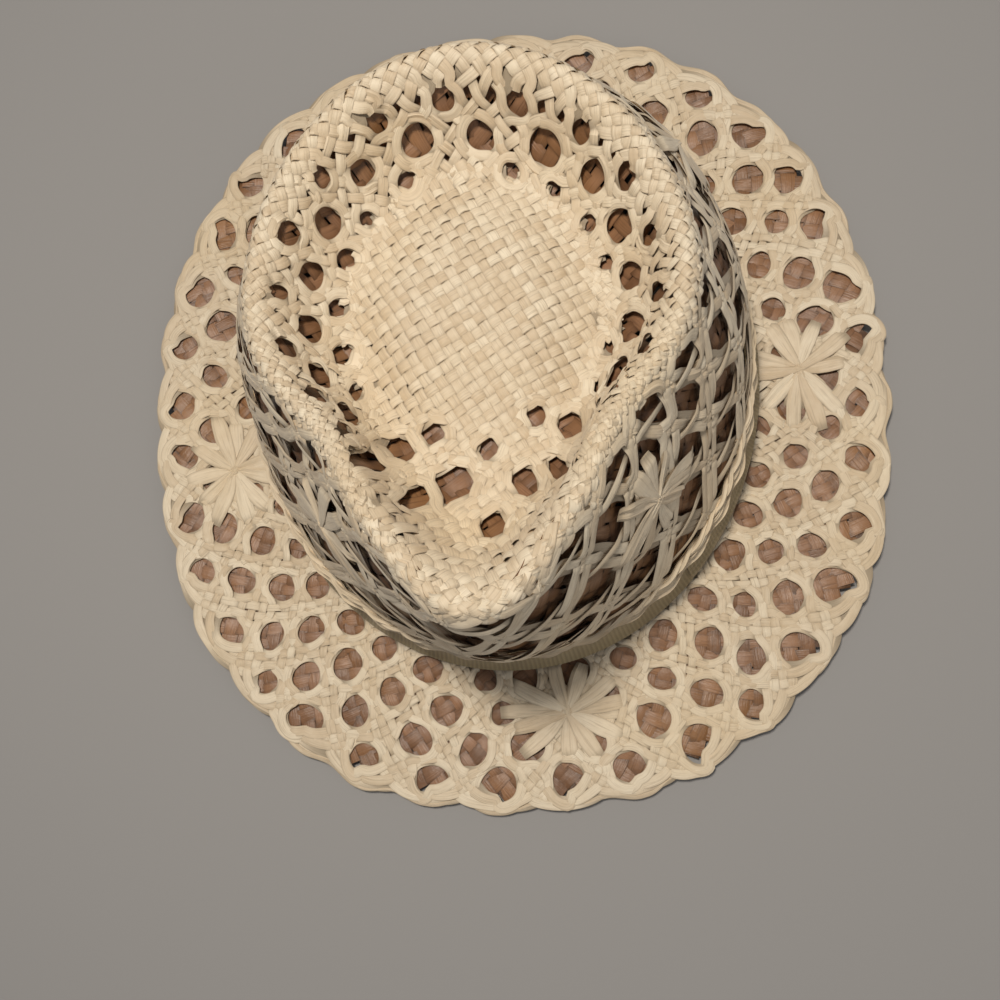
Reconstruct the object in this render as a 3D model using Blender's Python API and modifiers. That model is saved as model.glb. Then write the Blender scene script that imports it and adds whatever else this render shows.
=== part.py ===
"""Open-weave straw hat with a teardrop crown, as an assembly of separate pieces.

The hat stands on the flat underside of its brim, +Z up, its front peak towards -Y. The origin is
the centre of the brim's outline on that underside. Lengths here are in millimetres, and MM turns
them into metres when a mesh is made.
"""

import math

import bpy
import numpy as np

MM = 0.001

# Brim: an oval sheet, flat beside the crown and lifting a little towards its edge.
BRIM_HALF_WIDTH = 130.5
BRIM_HALF_LENGTH = 141.5
BRIM_FULLNESS = 2.2
BRIM_FLAT_SHARE = 0.3
BRIM_LIFT_FRONT = 1.5
BRIM_LIFT_SIDE = 2.5
BRIM_LIFT_BACK = 2.5

# Crown: an oval base that rises to a teardrop ridge, pinched on both sides of the front peak.
CROWN_X = -1.5
CROWN_Y = 10.0
BASE_HALF_WIDTH = 89.5
BASE_HALF_LENGTH = 104.0
RIDGE_HALF_WIDTH = 61.0
RIDGE_HALF_LENGTH = 78.0
RIDGE_Y = -9.5
RIDGE_HEIGHT = 97.0
PEAK_RISE = 20.0
SHOULDER_OUT = (3.5, 6.3, 7.0)
PINCH_DEPTH = 0.27
PINCH_ANGLE = 48.0
DISH_HEIGHT = 84.0
VALLEY_HEIGHT = 77.0

# Layers, each given as the distance of its middle from the crown's reference surface.
OUTER_WEAVE = 1.6
LINING_THICK = 0.8
LINING_IN = -2.6
RIBBON_THICK = 0.6
RIBBON_IN = -1.6
PLEAT_THICK = 0.4
PLEAT_IN = -0.5
SWEATBAND_THICK = 0.6
SWEATBAND_IN = -3.8
BRIM_LINING_THICK = 0.9
BRIM_WEAVE_THICK = 1.4
LAYER_GAP = 0.4

# Edges and bands.
TWINE_RADIUS = 1.2
TWINE_OUT = 0.3
TWINE_HEIGHTS = (28.4, 25.6, 22.8)
OUTER_CROWN_FOOT = 30.2
LINING_FOOT = 2.5
PLEAT_FOOT = 6.5
PLEAT_TOP = 20.5
PLEAT_FROM = -52.0
PLEAT_TO = -26.0
EDGE_RADIUS = 1.5
BRIM_INNER_STEP = 1.0

# Star motifs: angle round the hat in degrees, 0 on the right and -90 at the front.
STAR_THICK = 0.6
CROWN_STAR_RADIUS = 20.0
CROWN_STAR_ANGLES = {"front_right": -48.5, "front_left": -131.5, "back_right": 41.5, "back_left": 138.5}
CROWN_STAR_ROW = 7.9
CROWN_STAR_OUT = 1.3
BRIM_STAR_ALONG = 19.0
BRIM_STAR_ACROSS = 13.0
BRIM_STAR_ANGLES = {"front": -83.0, "right": 2.0, "back": 97.0, "left": -171.0}
BRIM_STAR_SHARE = 0.4
BRIM_STAR_REACH = 0.36

ROUND_STEPS = 36
STAR_SIDES = 12
CROWN_ROWS = (0.6, 1.2, 1.7, 2.1, 2.5, 3.0, 3.5, 4.0, 4.5, 5.0, 5.5, 6.0, 6.5, 7.0, 7.5, 8.0, 8.7)
BRIM_ROWS = (0.0, BRIM_FLAT_SHARE, 0.55, 0.8, 1.0)
WALL_LOW_ROW = 6.0
WALL_FOOT_ROW = 12.5
CROWN_LOW_HEIGHTS = (42.0, OUTER_CROWN_FOOT)
BAND_HEIGHTS = (26.0, 18.7, 11.3, 4.0)


def smooth_step(low, high, value):
    """0 below low, 1 above high, and an even S between."""
    share = min(max((value - low) / (high - low), 0.0), 1.0)
    return share * share * (3.0 - 2.0 * share)


def front_angle(theta):
    """Degrees away from the front, from 0 at the front to 180 at the back."""
    return abs((math.degrees(theta) + 270.0) % 360.0 - 180.0)


def oval(half_width, half_length, theta, fullness=2.0):
    """Radius of an oval about its own centre: an ellipse at fullness 2, squarer above it."""
    across = abs(math.cos(theta)) / half_width
    along = abs(math.sin(theta)) / half_length
    return (across**fullness + along**fullness) ** (-1.0 / fullness)


def pinch(theta):
    """How strongly the crown is pinched at this angle, 0 to about 1."""
    away = front_angle(theta)
    spread = 27.0 if away < PINCH_ANGLE else 24.0
    return math.exp(-0.5 * ((away - PINCH_ANGLE) / spread) ** 2) * (1.0 - math.exp(-((away / 11.0) ** 2)))


def crown_profile(theta):
    """The crown's control points at one angle, from the middle of the dish down to the brim."""
    ridge = oval(RIDGE_HALF_WIDTH, RIDGE_HALF_LENGTH, theta)
    base = oval(BASE_HALF_WIDTH, BASE_HALF_LENGTH, theta)
    dent = pinch(theta)
    peak = math.exp(-0.5 * (front_angle(theta) / 45.0) ** 2)
    top = RIDGE_HEIGHT + PEAK_RISE * peak
    valley = VALLEY_HEIGHT + 8.0 * peak * peak
    foot = OUTER_CROWN_FOOT - 6.2

    def at(radius, height, shift):
        return (radius * math.cos(theta) + CROWN_X, radius * math.sin(theta) + shift + CROWN_Y, height)

    def wall(share, bulge):
        upper = ridge * (1.0 - 0.24 * dent) + SHOULDER_OUT[2]
        radius = upper * (1.0 - share) + (base - 4.5) * share + bulge
        height = top - 13.0 - (top - 13.0 - foot) * share
        return at(radius, height, RIDGE_Y * (1.0 - share) ** 1.2)

    ridge_radius = ridge * (1.0 - PINCH_DEPTH * dent)
    return np.array(
        [
            at(0.0, DISH_HEIGHT, RIDGE_Y + 10.0),
            at(0.30 * ridge, DISH_HEIGHT - 1.0, RIDGE_Y + 7.0),
            at(0.60 * ridge * (1.0 - 0.12 * dent), valley, RIDGE_Y + 3.0),
            at(0.78 * ridge * (1.0 - 0.20 * dent), valley + 5.5 + 4.0 * peak, RIDGE_Y + 1.0),
            at(0.91 * ridge * (1.0 - 0.26 * dent), top - 4.5, RIDGE_Y),
            at(ridge_radius, top, RIDGE_Y),
            at(ridge_radius + SHOULDER_OUT[0], top - 2.5, RIDGE_Y),
            at(ridge * (1.0 - 0.25 * dent) + SHOULDER_OUT[1], top - 10.0, RIDGE_Y),
            wall(0.33, 4.0 - 3.0 * dent),
            wall(0.68, 3.6 - 3.0 * dent),
            wall(1.0, 0.0),
            at(base - 2.4, 8.0, 0.0),
            at(base + 0.6, 2.0, 0.0),
            at(base + 6.0, 0.0, 0.0),
        ]
    )


def crown_point(theta, row):
    """A point of the crown's reference surface: a smooth curve through the control points."""
    points = crown_profile(theta)
    last = len(points) - 1
    span = min(int(row), last - 1)
    t = row - span
    before, start, end, after = (points[min(max(span + step, 0), last)] for step in (-1, 0, 1, 2))
    bend = 2.0 * before - 5.0 * start + 4.0 * end - after
    twist = 3.0 * start - before - 3.0 * end + after
    return 0.5 * (2.0 * start + (end - before) * t + bend * t * t + twist * t**3)


def crown_slopes(theta, row):
    """The surface's change per radian and per row."""
    step = 1e-3
    round_way = crown_point(theta + step, row) - crown_point(theta - step, row)
    down_way = crown_point(theta, row + step) - crown_point(theta, row - step)
    return round_way / (2.0 * step), down_way / (2.0 * step)


def crown_layer_point(theta, row, out):
    """A point at a distance outside the reference surface, along its normal."""
    round_way, down_way = crown_slopes(theta, max(row, 0.02))
    normal = np.cross(down_way, round_way)
    return crown_point(theta, row) + normal * (out / np.linalg.norm(normal))


def row_at_height(theta, height):
    """The row at which the crown's wall passes this height."""
    low, high = WALL_LOW_ROW, WALL_FOOT_ROW
    for _ in range(30):
        middle = 0.5 * (low + high)
        if crown_point(theta, middle)[2] > height:
            low = middle
        else:
            high = middle
    return low


def brim_point(theta, share, height):
    """A point of the brim, from its inner edge (share 0) to its outline (share 1)."""
    inner = oval(BASE_HALF_WIDTH - BRIM_INNER_STEP, BASE_HALF_LENGTH - BRIM_INNER_STEP, theta)
    room = 2.0 * EDGE_RADIUS + LAYER_GAP
    outer = oval(BRIM_HALF_WIDTH - room, BRIM_HALF_LENGTH - room, theta, BRIM_FULLNESS)
    start = np.array([inner * math.cos(theta) + CROWN_X, inner * math.sin(theta) + CROWN_Y])
    end = np.array([outer * math.cos(theta), outer * math.sin(theta)])
    x, y = start + (end - start) * share
    return np.array([x, y, height + brim_lift(theta) * smooth_step(BRIM_FLAT_SHARE, 1.0, share)])


def brim_lift(theta):
    """How far the brim's edge lies above its flat part."""
    back = smooth_step(90.0, 180.0, front_angle(theta))
    return BRIM_LIFT_FRONT + BRIM_LIFT_SIDE * math.cos(theta) ** 2 + BRIM_LIFT_BACK * back


def round_angles():
    """The angles of every ring of points, so that all layers have matching facets."""
    return [2.0 * math.pi * step / ROUND_STEPS for step in range(ROUND_STEPS)]


def sheet_object(name, points, faces, thickness, offset, material, collection):
    """An open surface given its thickness with Solidify."""
    mesh = bpy.data.meshes.new(name)
    mesh.from_pydata([tuple(point * MM) for point in points], [], faces)
    mesh.shade_smooth()
    mesh.set_sharp_from_angle(angle=math.radians(50.0))
    mesh.materials.append(material)
    obj = bpy.data.objects.new(name, mesh)
    collection.objects.link(obj)
    shell = obj.modifiers.new("thickness", "SOLIDIFY")
    shell.thickness = thickness * MM
    shell.offset = offset
    return obj


def ring_faces(rows, start, closed=True):
    """Quads between rows of points that run round the hat, the first point at index start."""
    columns = ROUND_STEPS if closed else len(rows[0])
    faces = []
    for row in range(len(rows) - 1):
        for column in range(columns if closed else columns - 1):
            here = start + row * columns + column
            beside = start + row * columns + (column + 1) % columns
            faces.append((here, here + columns, beside + columns, beside))
    return faces


def wall_rows(heights, out):
    """Rings of points round the wall, one at each height."""
    return [[crown_layer_point(a, row_at_height(a, height), out) for a in round_angles()] for height in heights]


def crown_shell(name, out, thickness, low_heights, material, collection):
    """A whole crown layer, from the middle of the dish to its foot."""
    rows = [[crown_layer_point(angle, row, out) for angle in round_angles()] for row in CROWN_ROWS]
    rows += wall_rows(low_heights, out)
    points = [crown_layer_point(0.0, 0.0, out)] + [point for ring in rows for point in ring]
    cap = [(0, 1 + step, 1 + (step + 1) % ROUND_STEPS) for step in range(ROUND_STEPS)]
    faces = cap + ring_faces(rows, 1)
    return sheet_object(name, points, faces, thickness, 0.0, material, collection)


def wall_band(name, out, thickness, heights, material, collection):
    """A band that follows the whole wall between two heights."""
    rows = wall_rows(heights, out)
    points = [point for ring in rows for point in ring]
    return sheet_object(name, points, ring_faces(rows, 0), thickness, 0.0, material, collection)


def pleated_lap(name, material, collection):
    """The short lapped length of ribbon that covers the band's join."""
    angles = [math.radians(value) for value in np.linspace(PLEAT_FROM, PLEAT_TO, 7)]
    rows = []
    for height in np.linspace(PLEAT_TOP, PLEAT_FOOT, 4):
        rows.append([crown_layer_point(a, row_at_height(a, height), PLEAT_IN) for a in angles])
    points = [point for ring in rows for point in ring]
    faces = ring_faces(rows, 0, closed=False)
    return sheet_object(name, points, faces, PLEAT_THICK, 0.0, material, collection)


def brim_sheet(name, height, thickness, material, collection):
    """One layer of the brim, its underside at this height."""
    rows = [[brim_point(angle, share, height) for angle in round_angles()] for share in BRIM_ROWS]
    points = [point for ring in rows for point in ring]
    return sheet_object(name, points, ring_faces(rows, 0), thickness, 1.0, material, collection)


def ring_cord(name, points, radius, material, collection):
    """A closed cord through these points."""
    curve = bpy.data.curves.new(name, "CURVE")
    curve.dimensions = "3D"
    curve.bevel_depth = radius * MM
    curve.bevel_resolution = 1
    spline = curve.splines.new("POLY")
    spline.points.add(len(points) - 1)
    for spline_point, point in zip(spline.points, points):
        spline_point.co = (*(point * MM), 1.0)
    spline.use_cyclic_u = True
    curve.materials.append(material)
    obj = bpy.data.objects.new(name, curve)
    collection.objects.link(obj)
    return obj


def base_twine(name, height, material, collection):
    """One twined row at the crown's foot."""
    points = [crown_layer_point(a, row_at_height(a, height), TWINE_OUT) for a in round_angles()]
    return ring_cord(name, points, TWINE_RADIUS, material, collection)


def brim_edge(name, material, collection):
    """The whipped cord round the outline of the brim."""
    half_width = BRIM_HALF_WIDTH - EDGE_RADIUS
    half_length = BRIM_HALF_LENGTH - EDGE_RADIUS
    middle = 0.5 * (BRIM_LINING_THICK + LAYER_GAP + BRIM_WEAVE_THICK)
    points = []
    for angle in round_angles():
        radius = oval(half_width, half_length, angle, BRIM_FULLNESS)
        height = middle + brim_lift(angle)
        points.append(np.array([radius * math.cos(angle), radius * math.sin(angle), height]))
    return ring_cord(name, points, EDGE_RADIUS, material, collection)


def star_sheet(name, place, offset, material, collection):
    """A thin round patch, with place(across, along) giving its points from -1 to 1."""
    points = [place(0.0, 0.0)]
    for size in (0.5, 1.0):
        for step in range(STAR_SIDES):
            turn = 2.0 * math.pi * step / STAR_SIDES
            points.append(place(size * math.cos(turn), size * math.sin(turn)))
    faces = []
    for step in range(STAR_SIDES):
        beside = (step + 1) % STAR_SIDES
        faces.append((0, 1 + step, 1 + beside))
        faces.append((1 + step, 1 + STAR_SIDES + step, 1 + STAR_SIDES + beside, 1 + beside))
    return sheet_object(name, points, faces, STAR_THICK, offset, material, collection)


def crown_star(name, degrees, material, collection):
    """A star motif that lies on the crown's wall."""
    theta = math.radians(degrees)
    round_way, down_way = crown_slopes(theta, CROWN_STAR_ROW)
    turn = CROWN_STAR_RADIUS / np.linalg.norm(round_way)
    drop = CROWN_STAR_RADIUS / np.linalg.norm(down_way)

    def place(across, along):
        return crown_layer_point(theta + along * turn, CROWN_STAR_ROW + across * drop, CROWN_STAR_OUT)

    return star_sheet(name, place, 1.0, material, collection)


def brim_star(name, degrees, material, collection):
    """A star motif that lies on the brim."""
    theta = math.radians(degrees)
    width = np.linalg.norm(brim_point(theta, 1.0, 0.0) - brim_point(theta, 0.0, 0.0))
    radius = np.linalg.norm(brim_point(theta, BRIM_STAR_SHARE, 0.0)[:2])
    height = BRIM_LINING_THICK + 2.0 * LAYER_GAP + BRIM_WEAVE_THICK
    reach = min(BRIM_STAR_ACROSS / width, BRIM_STAR_REACH)

    def place(across, along):
        share = BRIM_STAR_SHARE + across * reach
        return brim_point(theta + along * BRIM_STAR_ALONG / radius, share, height)

    return star_sheet(name, place, 1.0, material, collection)


def finish(name, colour, roughness):
    """A plain material for one kind of straw or ribbon."""
    material = bpy.data.materials.new(name)
    material.use_nodes = True
    shader = material.node_tree.nodes["Principled BSDF"]
    shader.inputs["Base Color"].default_value = (*colour, 1.0)
    shader.inputs["Roughness"].default_value = roughness
    shader.inputs["Metallic"].default_value = 0.0
    return material


def clear_scene():
    """Remove every object, so that only the hat is left."""
    for obj in list(bpy.data.objects):
        bpy.data.objects.remove(obj)


def build_hat():
    """Make every piece of the hat."""
    clear_scene()
    hat = bpy.data.collections.new("straw_hat")
    bpy.context.scene.collection.children.link(hat)
    cream = finish("cream_straw", (0.78, 0.68, 0.50), 0.6)
    brown = finish("brown_straw", (0.34, 0.18, 0.09), 0.4)
    ribbon = finish("khaki_ribbon", (0.50, 0.38, 0.20), 0.7)
    lining_cloth = finish("sweatband_cloth", (0.62, 0.52, 0.38), 0.8)

    lining_heights = (*CROWN_LOW_HEIGHTS, *BAND_HEIGHTS, LINING_FOOT)
    crown_shell("outer_crown", 0.0, OUTER_WEAVE, CROWN_LOW_HEIGHTS, cream, hat)
    crown_shell("crown_lining", LINING_IN, LINING_THICK, lining_heights, brown, hat)
    for number, height in enumerate(TWINE_HEIGHTS, start=1):
        base_twine(f"base_twine_{number}", height, cream, hat)
    wall_band("hat_band", RIBBON_IN, RIBBON_THICK, BAND_HEIGHTS, ribbon, hat)
    pleated_lap("hat_band_lap", ribbon, hat)
    sweatband_heights = (OUTER_CROWN_FOOT, *BAND_HEIGHTS)
    wall_band("sweatband", SWEATBAND_IN, SWEATBAND_THICK, sweatband_heights, lining_cloth, hat)
    brim_sheet("brim_lining", 0.0, BRIM_LINING_THICK, brown, hat)
    brim_sheet("outer_brim", BRIM_LINING_THICK + LAYER_GAP, BRIM_WEAVE_THICK, cream, hat)
    brim_edge("brim_edge_braid", cream, hat)
    for place, degrees in CROWN_STAR_ANGLES.items():
        crown_star(f"crown_star_{place}", degrees, cream, hat)
    for place, degrees in BRIM_STAR_ANGLES.items():
        brim_star(f"brim_star_{place}", degrees, cream, hat)


build_hat()
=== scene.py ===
"""Dress the open-weave straw hat: every straw, star, twined row and ribbon, with its finish.

The hat is woven twice. The outer weave is cream straw with rows of openings, and a closer
brown weave lines it. Shapes are worked out in millimetres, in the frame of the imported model,
and turned into metres when a mesh is made.
"""

from __future__ import annotations

import logging
import math
from dataclasses import dataclass, field
from enum import Enum

import bpy
import numpy as np
from mathutils import Matrix, Vector


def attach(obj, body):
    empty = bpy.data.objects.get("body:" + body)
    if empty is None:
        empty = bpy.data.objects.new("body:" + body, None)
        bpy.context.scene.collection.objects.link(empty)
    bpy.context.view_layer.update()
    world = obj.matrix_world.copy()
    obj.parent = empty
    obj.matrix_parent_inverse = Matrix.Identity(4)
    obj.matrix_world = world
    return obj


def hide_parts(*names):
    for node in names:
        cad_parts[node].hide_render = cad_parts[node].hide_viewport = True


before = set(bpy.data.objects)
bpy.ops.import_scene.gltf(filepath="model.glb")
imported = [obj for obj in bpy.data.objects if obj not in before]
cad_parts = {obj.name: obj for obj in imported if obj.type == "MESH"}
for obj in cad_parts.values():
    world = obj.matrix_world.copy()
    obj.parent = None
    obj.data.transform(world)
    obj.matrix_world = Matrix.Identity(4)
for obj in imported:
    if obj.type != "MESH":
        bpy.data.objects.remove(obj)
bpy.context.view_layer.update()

MM = 0.001
CELL_COLUMN = 8192
LOG = logging.getLogger("straw_hat")
Array = np.ndarray


class Lay(Enum):
    """The directions in which straws are laid; each straw crosses only those of other lays."""

    LEFT = 0
    RIGHT = 1
    RING = 2
    PLAIN_ACROSS = 3
    PLAIN_ALONG = 4


class Finish(Enum):
    """The names of the pieces' finishes."""

    CREAM = "cream_straw"
    BROWN = "brown_straw"
    RIBBON = "khaki_ribbon"
    CLOTH = "sweatband_cloth"


def smooth_step(low: float, high: float, value: Array | float) -> Array | float:
    """Return 0 below low, 1 above high, and an even S between.

    Args:
        low: Where the rise starts.
        high: Where the rise ends.
        value: The number or numbers to rate.

    Returns:
        The share of the rise, from 0 to 1.
    """
    share = np.clip((value - low) / (high - low), 0.0, 1.0)
    return share * share * (3.0 - 2.0 * share)


def oval(half_width: float, half_length: float, theta: Array, fullness: float = 2.0) -> Array:
    """Return the radius of an oval about its own centre.

    Args:
        half_width: Half its size along X.
        half_length: Half its size along Y.
        theta: Angles in radians.
        fullness: 2 for an ellipse, more for a squarer outline.

    Returns:
        The radius at each angle.
    """
    across = np.abs(np.cos(theta)) / half_width
    along = np.abs(np.sin(theta)) / half_length
    return (across**fullness + along**fullness) ** (-1.0 / fullness)


def front_angle(theta: Array) -> Array:
    """Return the degrees away from the front of the hat, 0 at the front and 180 at the back."""
    return np.abs((np.degrees(theta) + 270.0) % 360.0 - 180.0)


def heading(theta: Array) -> Array:
    """Return the unit vectors that point at these angles."""
    return np.stack([np.cos(theta), np.sin(theta)], axis=1)


def round_and_out(centre: Array) -> tuple[Array, Array]:
    """Return the unit vectors round the hat and outwards, on the map, at a map point."""
    round_way = np.array([-centre[1], centre[0]]) / np.linalg.norm(centre)
    return round_way, np.array([round_way[1], -round_way[0]])


@dataclass(frozen=True)
class HatForm:
    """The hat's driving sizes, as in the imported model, and its reference surface."""

    brim_half_width: float = 130.5
    brim_half_length: float = 141.5
    brim_fullness: float = 2.2
    brim_flat_share: float = 0.3
    lift_front: float = 1.5
    lift_side: float = 2.5
    lift_back: float = 2.5
    crown_x: float = -1.5
    crown_y: float = 10.0
    base_half_width: float = 89.5
    base_half_length: float = 104.0
    ridge_half_width: float = 61.0
    ridge_half_length: float = 78.0
    ridge_y: float = -9.5
    ridge_height: float = 97.0
    peak_rise: float = 20.0
    shoulder_out: tuple[float, float, float] = (3.5, 6.3, 7.0)
    pinch_depth: float = 0.27
    pinch_angle: float = 48.0
    dish_height: float = 84.0
    valley_height: float = 77.0
    crown_foot: float = 24.0

    def pinch(self, theta: Array) -> Array:
        """Return how strongly the crown is pinched at each angle, 0 to about 1."""
        away = front_angle(theta)
        spread = np.where(away < self.pinch_angle, 27.0, 24.0)
        dent = np.exp(-0.5 * ((away - self.pinch_angle) / spread) ** 2)
        return dent * (1.0 - np.exp(-((away / 11.0) ** 2)))

    def crown_controls(self, theta: Array) -> Array:
        """Return the crown's control points at each angle, from the dish down to the brim.

        Args:
            theta: Angles in radians.

        Returns:
            Points in millimetres, shaped (angles, 14, 3).
        """
        ridge = oval(self.ridge_half_width, self.ridge_half_length, theta)
        base = oval(self.base_half_width, self.base_half_length, theta)
        dent = self.pinch(theta)
        peak = np.exp(-0.5 * (front_angle(theta) / 45.0) ** 2)
        top = self.ridge_height + self.peak_rise * peak
        valley = self.valley_height + 8.0 * peak * peak
        shift = self.ridge_y

        def at(radius: Array | float, height: Array | float, move: Array | float) -> Array:
            """Return a point at a radius and a height, moved along Y."""
            x = radius * np.cos(theta) + self.crown_x
            y = radius * np.sin(theta) + move + self.crown_y
            return np.stack([x, y, height + 0.0 * theta], axis=-1)

        def wall(share: float, bulge: Array | float) -> Array:
            """Return a point of the wall, from the shoulder at 0 to the foot at 1."""
            upper = ridge * (1.0 - 0.24 * dent) + self.shoulder_out[2]
            radius = upper * (1.0 - share) + (base - 4.5) * share + bulge
            height = top - 13.0 - (top - 13.0 - self.crown_foot) * share
            return at(radius, height, shift * (1.0 - share) ** 1.2)

        crest = ridge * (1.0 - self.pinch_depth * dent)
        rows = [
            at(0.0, self.dish_height, shift + 10.0),
            at(0.30 * ridge, self.dish_height - 1.0, shift + 7.0),
            at(0.60 * ridge * (1.0 - 0.12 * dent), valley, shift + 3.0),
            at(0.78 * ridge * (1.0 - 0.20 * dent), valley + 5.5 + 4.0 * peak, shift + 1.0),
            at(0.91 * ridge * (1.0 - 0.26 * dent), top - 4.5, shift),
            at(crest, top, shift),
            at(crest + self.shoulder_out[0], top - 2.5, shift),
            at(ridge * (1.0 - 0.25 * dent) + self.shoulder_out[1], top - 10.0, shift),
            wall(0.33, 4.0 - 3.0 * dent),
            wall(0.68, 3.6 - 3.0 * dent),
            wall(1.0, 0.0),
            at(base - 2.4, 8.0, 0.0),
            at(base + 0.6, 2.0, 0.0),
            at(base + 6.0, 0.0, 0.0),
        ]
        return np.stack(rows, axis=1)

    def crown_point(self, theta: Array, row: Array) -> Array:
        """Return points of the crown's reference surface, a smooth curve through the controls.

        Args:
            theta: Angles in radians.
            row: Row numbers, 0 in the middle of the dish and 13 at the brim.

        Returns:
            Points in millimetres.
        """
        controls = self.crown_controls(theta)
        last = controls.shape[1] - 1
        row = np.clip(row, 0.0, float(last))
        span = np.minimum(row.astype(int), last - 1)
        t = (row - span)[:, None]
        pick = np.arange(len(theta))
        before, start, end, after = (
            controls[pick, np.clip(span + step, 0, last)] for step in (-1, 0, 1, 2)
        )
        bend = 2.0 * before - 5.0 * start + 4.0 * end - after
        twist = 3.0 * start - before - 3.0 * end + after
        return 0.5 * (2.0 * start + (end - before) * t + bend * t * t + twist * t**3)

    def row_at_height(self, theta: Array, height: Array | float) -> Array:
        """Return the row at which the crown's wall passes a height at each angle."""
        low = np.full_like(theta, 6.0)
        high = np.full_like(theta, 12.9)
        for _ in range(24):
            middle = 0.5 * (low + high)
            above = self.crown_point(theta, middle)[:, 2] > height
            low = np.where(above, middle, low)
            high = np.where(above, high, middle)
        return low

    def brim_outline(self, theta: Array) -> Array:
        """Return the brim's outer radius from the origin at each angle."""
        return oval(self.brim_half_width, self.brim_half_length, theta, self.brim_fullness)

    def brim_inside(self, theta: Array) -> Array:
        """Return the radius from the origin of the crown's foot at each angle."""
        half_width = self.base_half_width - 1.0
        half_length = self.base_half_length - 1.0
        a = (np.cos(theta) / half_width) ** 2 + (np.sin(theta) / half_length) ** 2
        b = np.cos(theta) * self.crown_x / half_width**2 + np.sin(theta) * self.crown_y / half_length**2
        c = (self.crown_x / half_width) ** 2 + (self.crown_y / half_length) ** 2 - 1.0
        return (b + np.sqrt(b * b - a * c)) / a

    def brim_height(self, theta: Array, radius: Array) -> Array:
        """Return how far the brim has lifted at each angle and radius."""
        inside = self.brim_inside(theta)
        share = (radius - inside) / (self.brim_outline(theta) - 3.4 - inside)
        back = smooth_step(90.0, 180.0, front_angle(theta))
        lift = self.lift_front + self.lift_side * np.cos(theta) ** 2 + self.lift_back * back
        return lift * smooth_step(self.brim_flat_share, 1.0, share)


class Surface:
    """A surface with a flat map: a map point has a place on the surface and a normal."""

    step = 0.25

    def place(self, chart: Array) -> Array:
        """Return the surface points, in millimetres, of these map points."""
        raise NotImplementedError

    def frame(self, chart: Array) -> tuple[Array, Array]:
        """Return the surface points and unit normals of these map points."""
        east = self.place(chart + (self.step, 0.0)) - self.place(chart - (self.step, 0.0))
        north = self.place(chart + (0.0, self.step)) - self.place(chart - (0.0, self.step))
        normal = np.cross(east, north)
        return self.place(chart), normal / np.linalg.norm(normal, axis=1)[:, None]


@dataclass
class CrownSurface(Surface):
    """The crown, mapped as a disc whose radius counts the rows."""

    form: HatForm
    row_scale: float = 12.0

    def place(self, chart: Array) -> Array:
        """Return the crown's points at these map points."""
        theta = np.arctan2(chart[:, 1], chart[:, 0])
        return self.form.crown_point(theta, np.hypot(chart[:, 0], chart[:, 1]) / self.row_scale)

    def chart(self, theta: Array, row: Array) -> Array:
        """Return the map points of these angles and rows."""
        return heading(theta) * (row * self.row_scale)[:, None]

    def chart_of_plan(self, plan: Array) -> Array:
        """Find the map points that lie under these points of the plan, inside the ridge.

        Args:
            plan: Points (x, y) in millimetres.

        Returns:
            The map points, found by stepping towards each plan point.
        """
        chart = (plan - (self.form.crown_x, self.form.crown_y + self.form.ridge_y)) * 0.9
        for _ in range(12):
            here = self.place(chart)[:, :2]
            east = (self.place(chart + (self.step, 0.0))[:, :2] - here) / self.step
            north = (self.place(chart + (0.0, self.step))[:, :2] - here) / self.step
            miss = plan - here
            area = east[:, 0] * north[:, 1] - east[:, 1] * north[:, 0]
            area = np.where(np.abs(area) < 0.1, 0.1, area)
            move_x = (miss[:, 0] * north[:, 1] - miss[:, 1] * north[:, 0]) / area
            move_y = (miss[:, 1] * east[:, 0] - miss[:, 0] * east[:, 1]) / area
            chart = chart + np.clip(np.stack([move_x, move_y], axis=1), -8.0, 8.0)
        return chart


@dataclass
class BrimSurface(Surface):
    """The brim, mapped by its own plan."""

    form: HatForm
    height: float

    def place(self, chart: Array) -> Array:
        """Return the brim's points over these plan points."""
        theta = np.arctan2(chart[:, 1], chart[:, 0])
        lift = self.form.brim_height(theta, np.hypot(chart[:, 0], chart[:, 1]))
        return np.column_stack([chart, self.height + lift])


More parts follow.
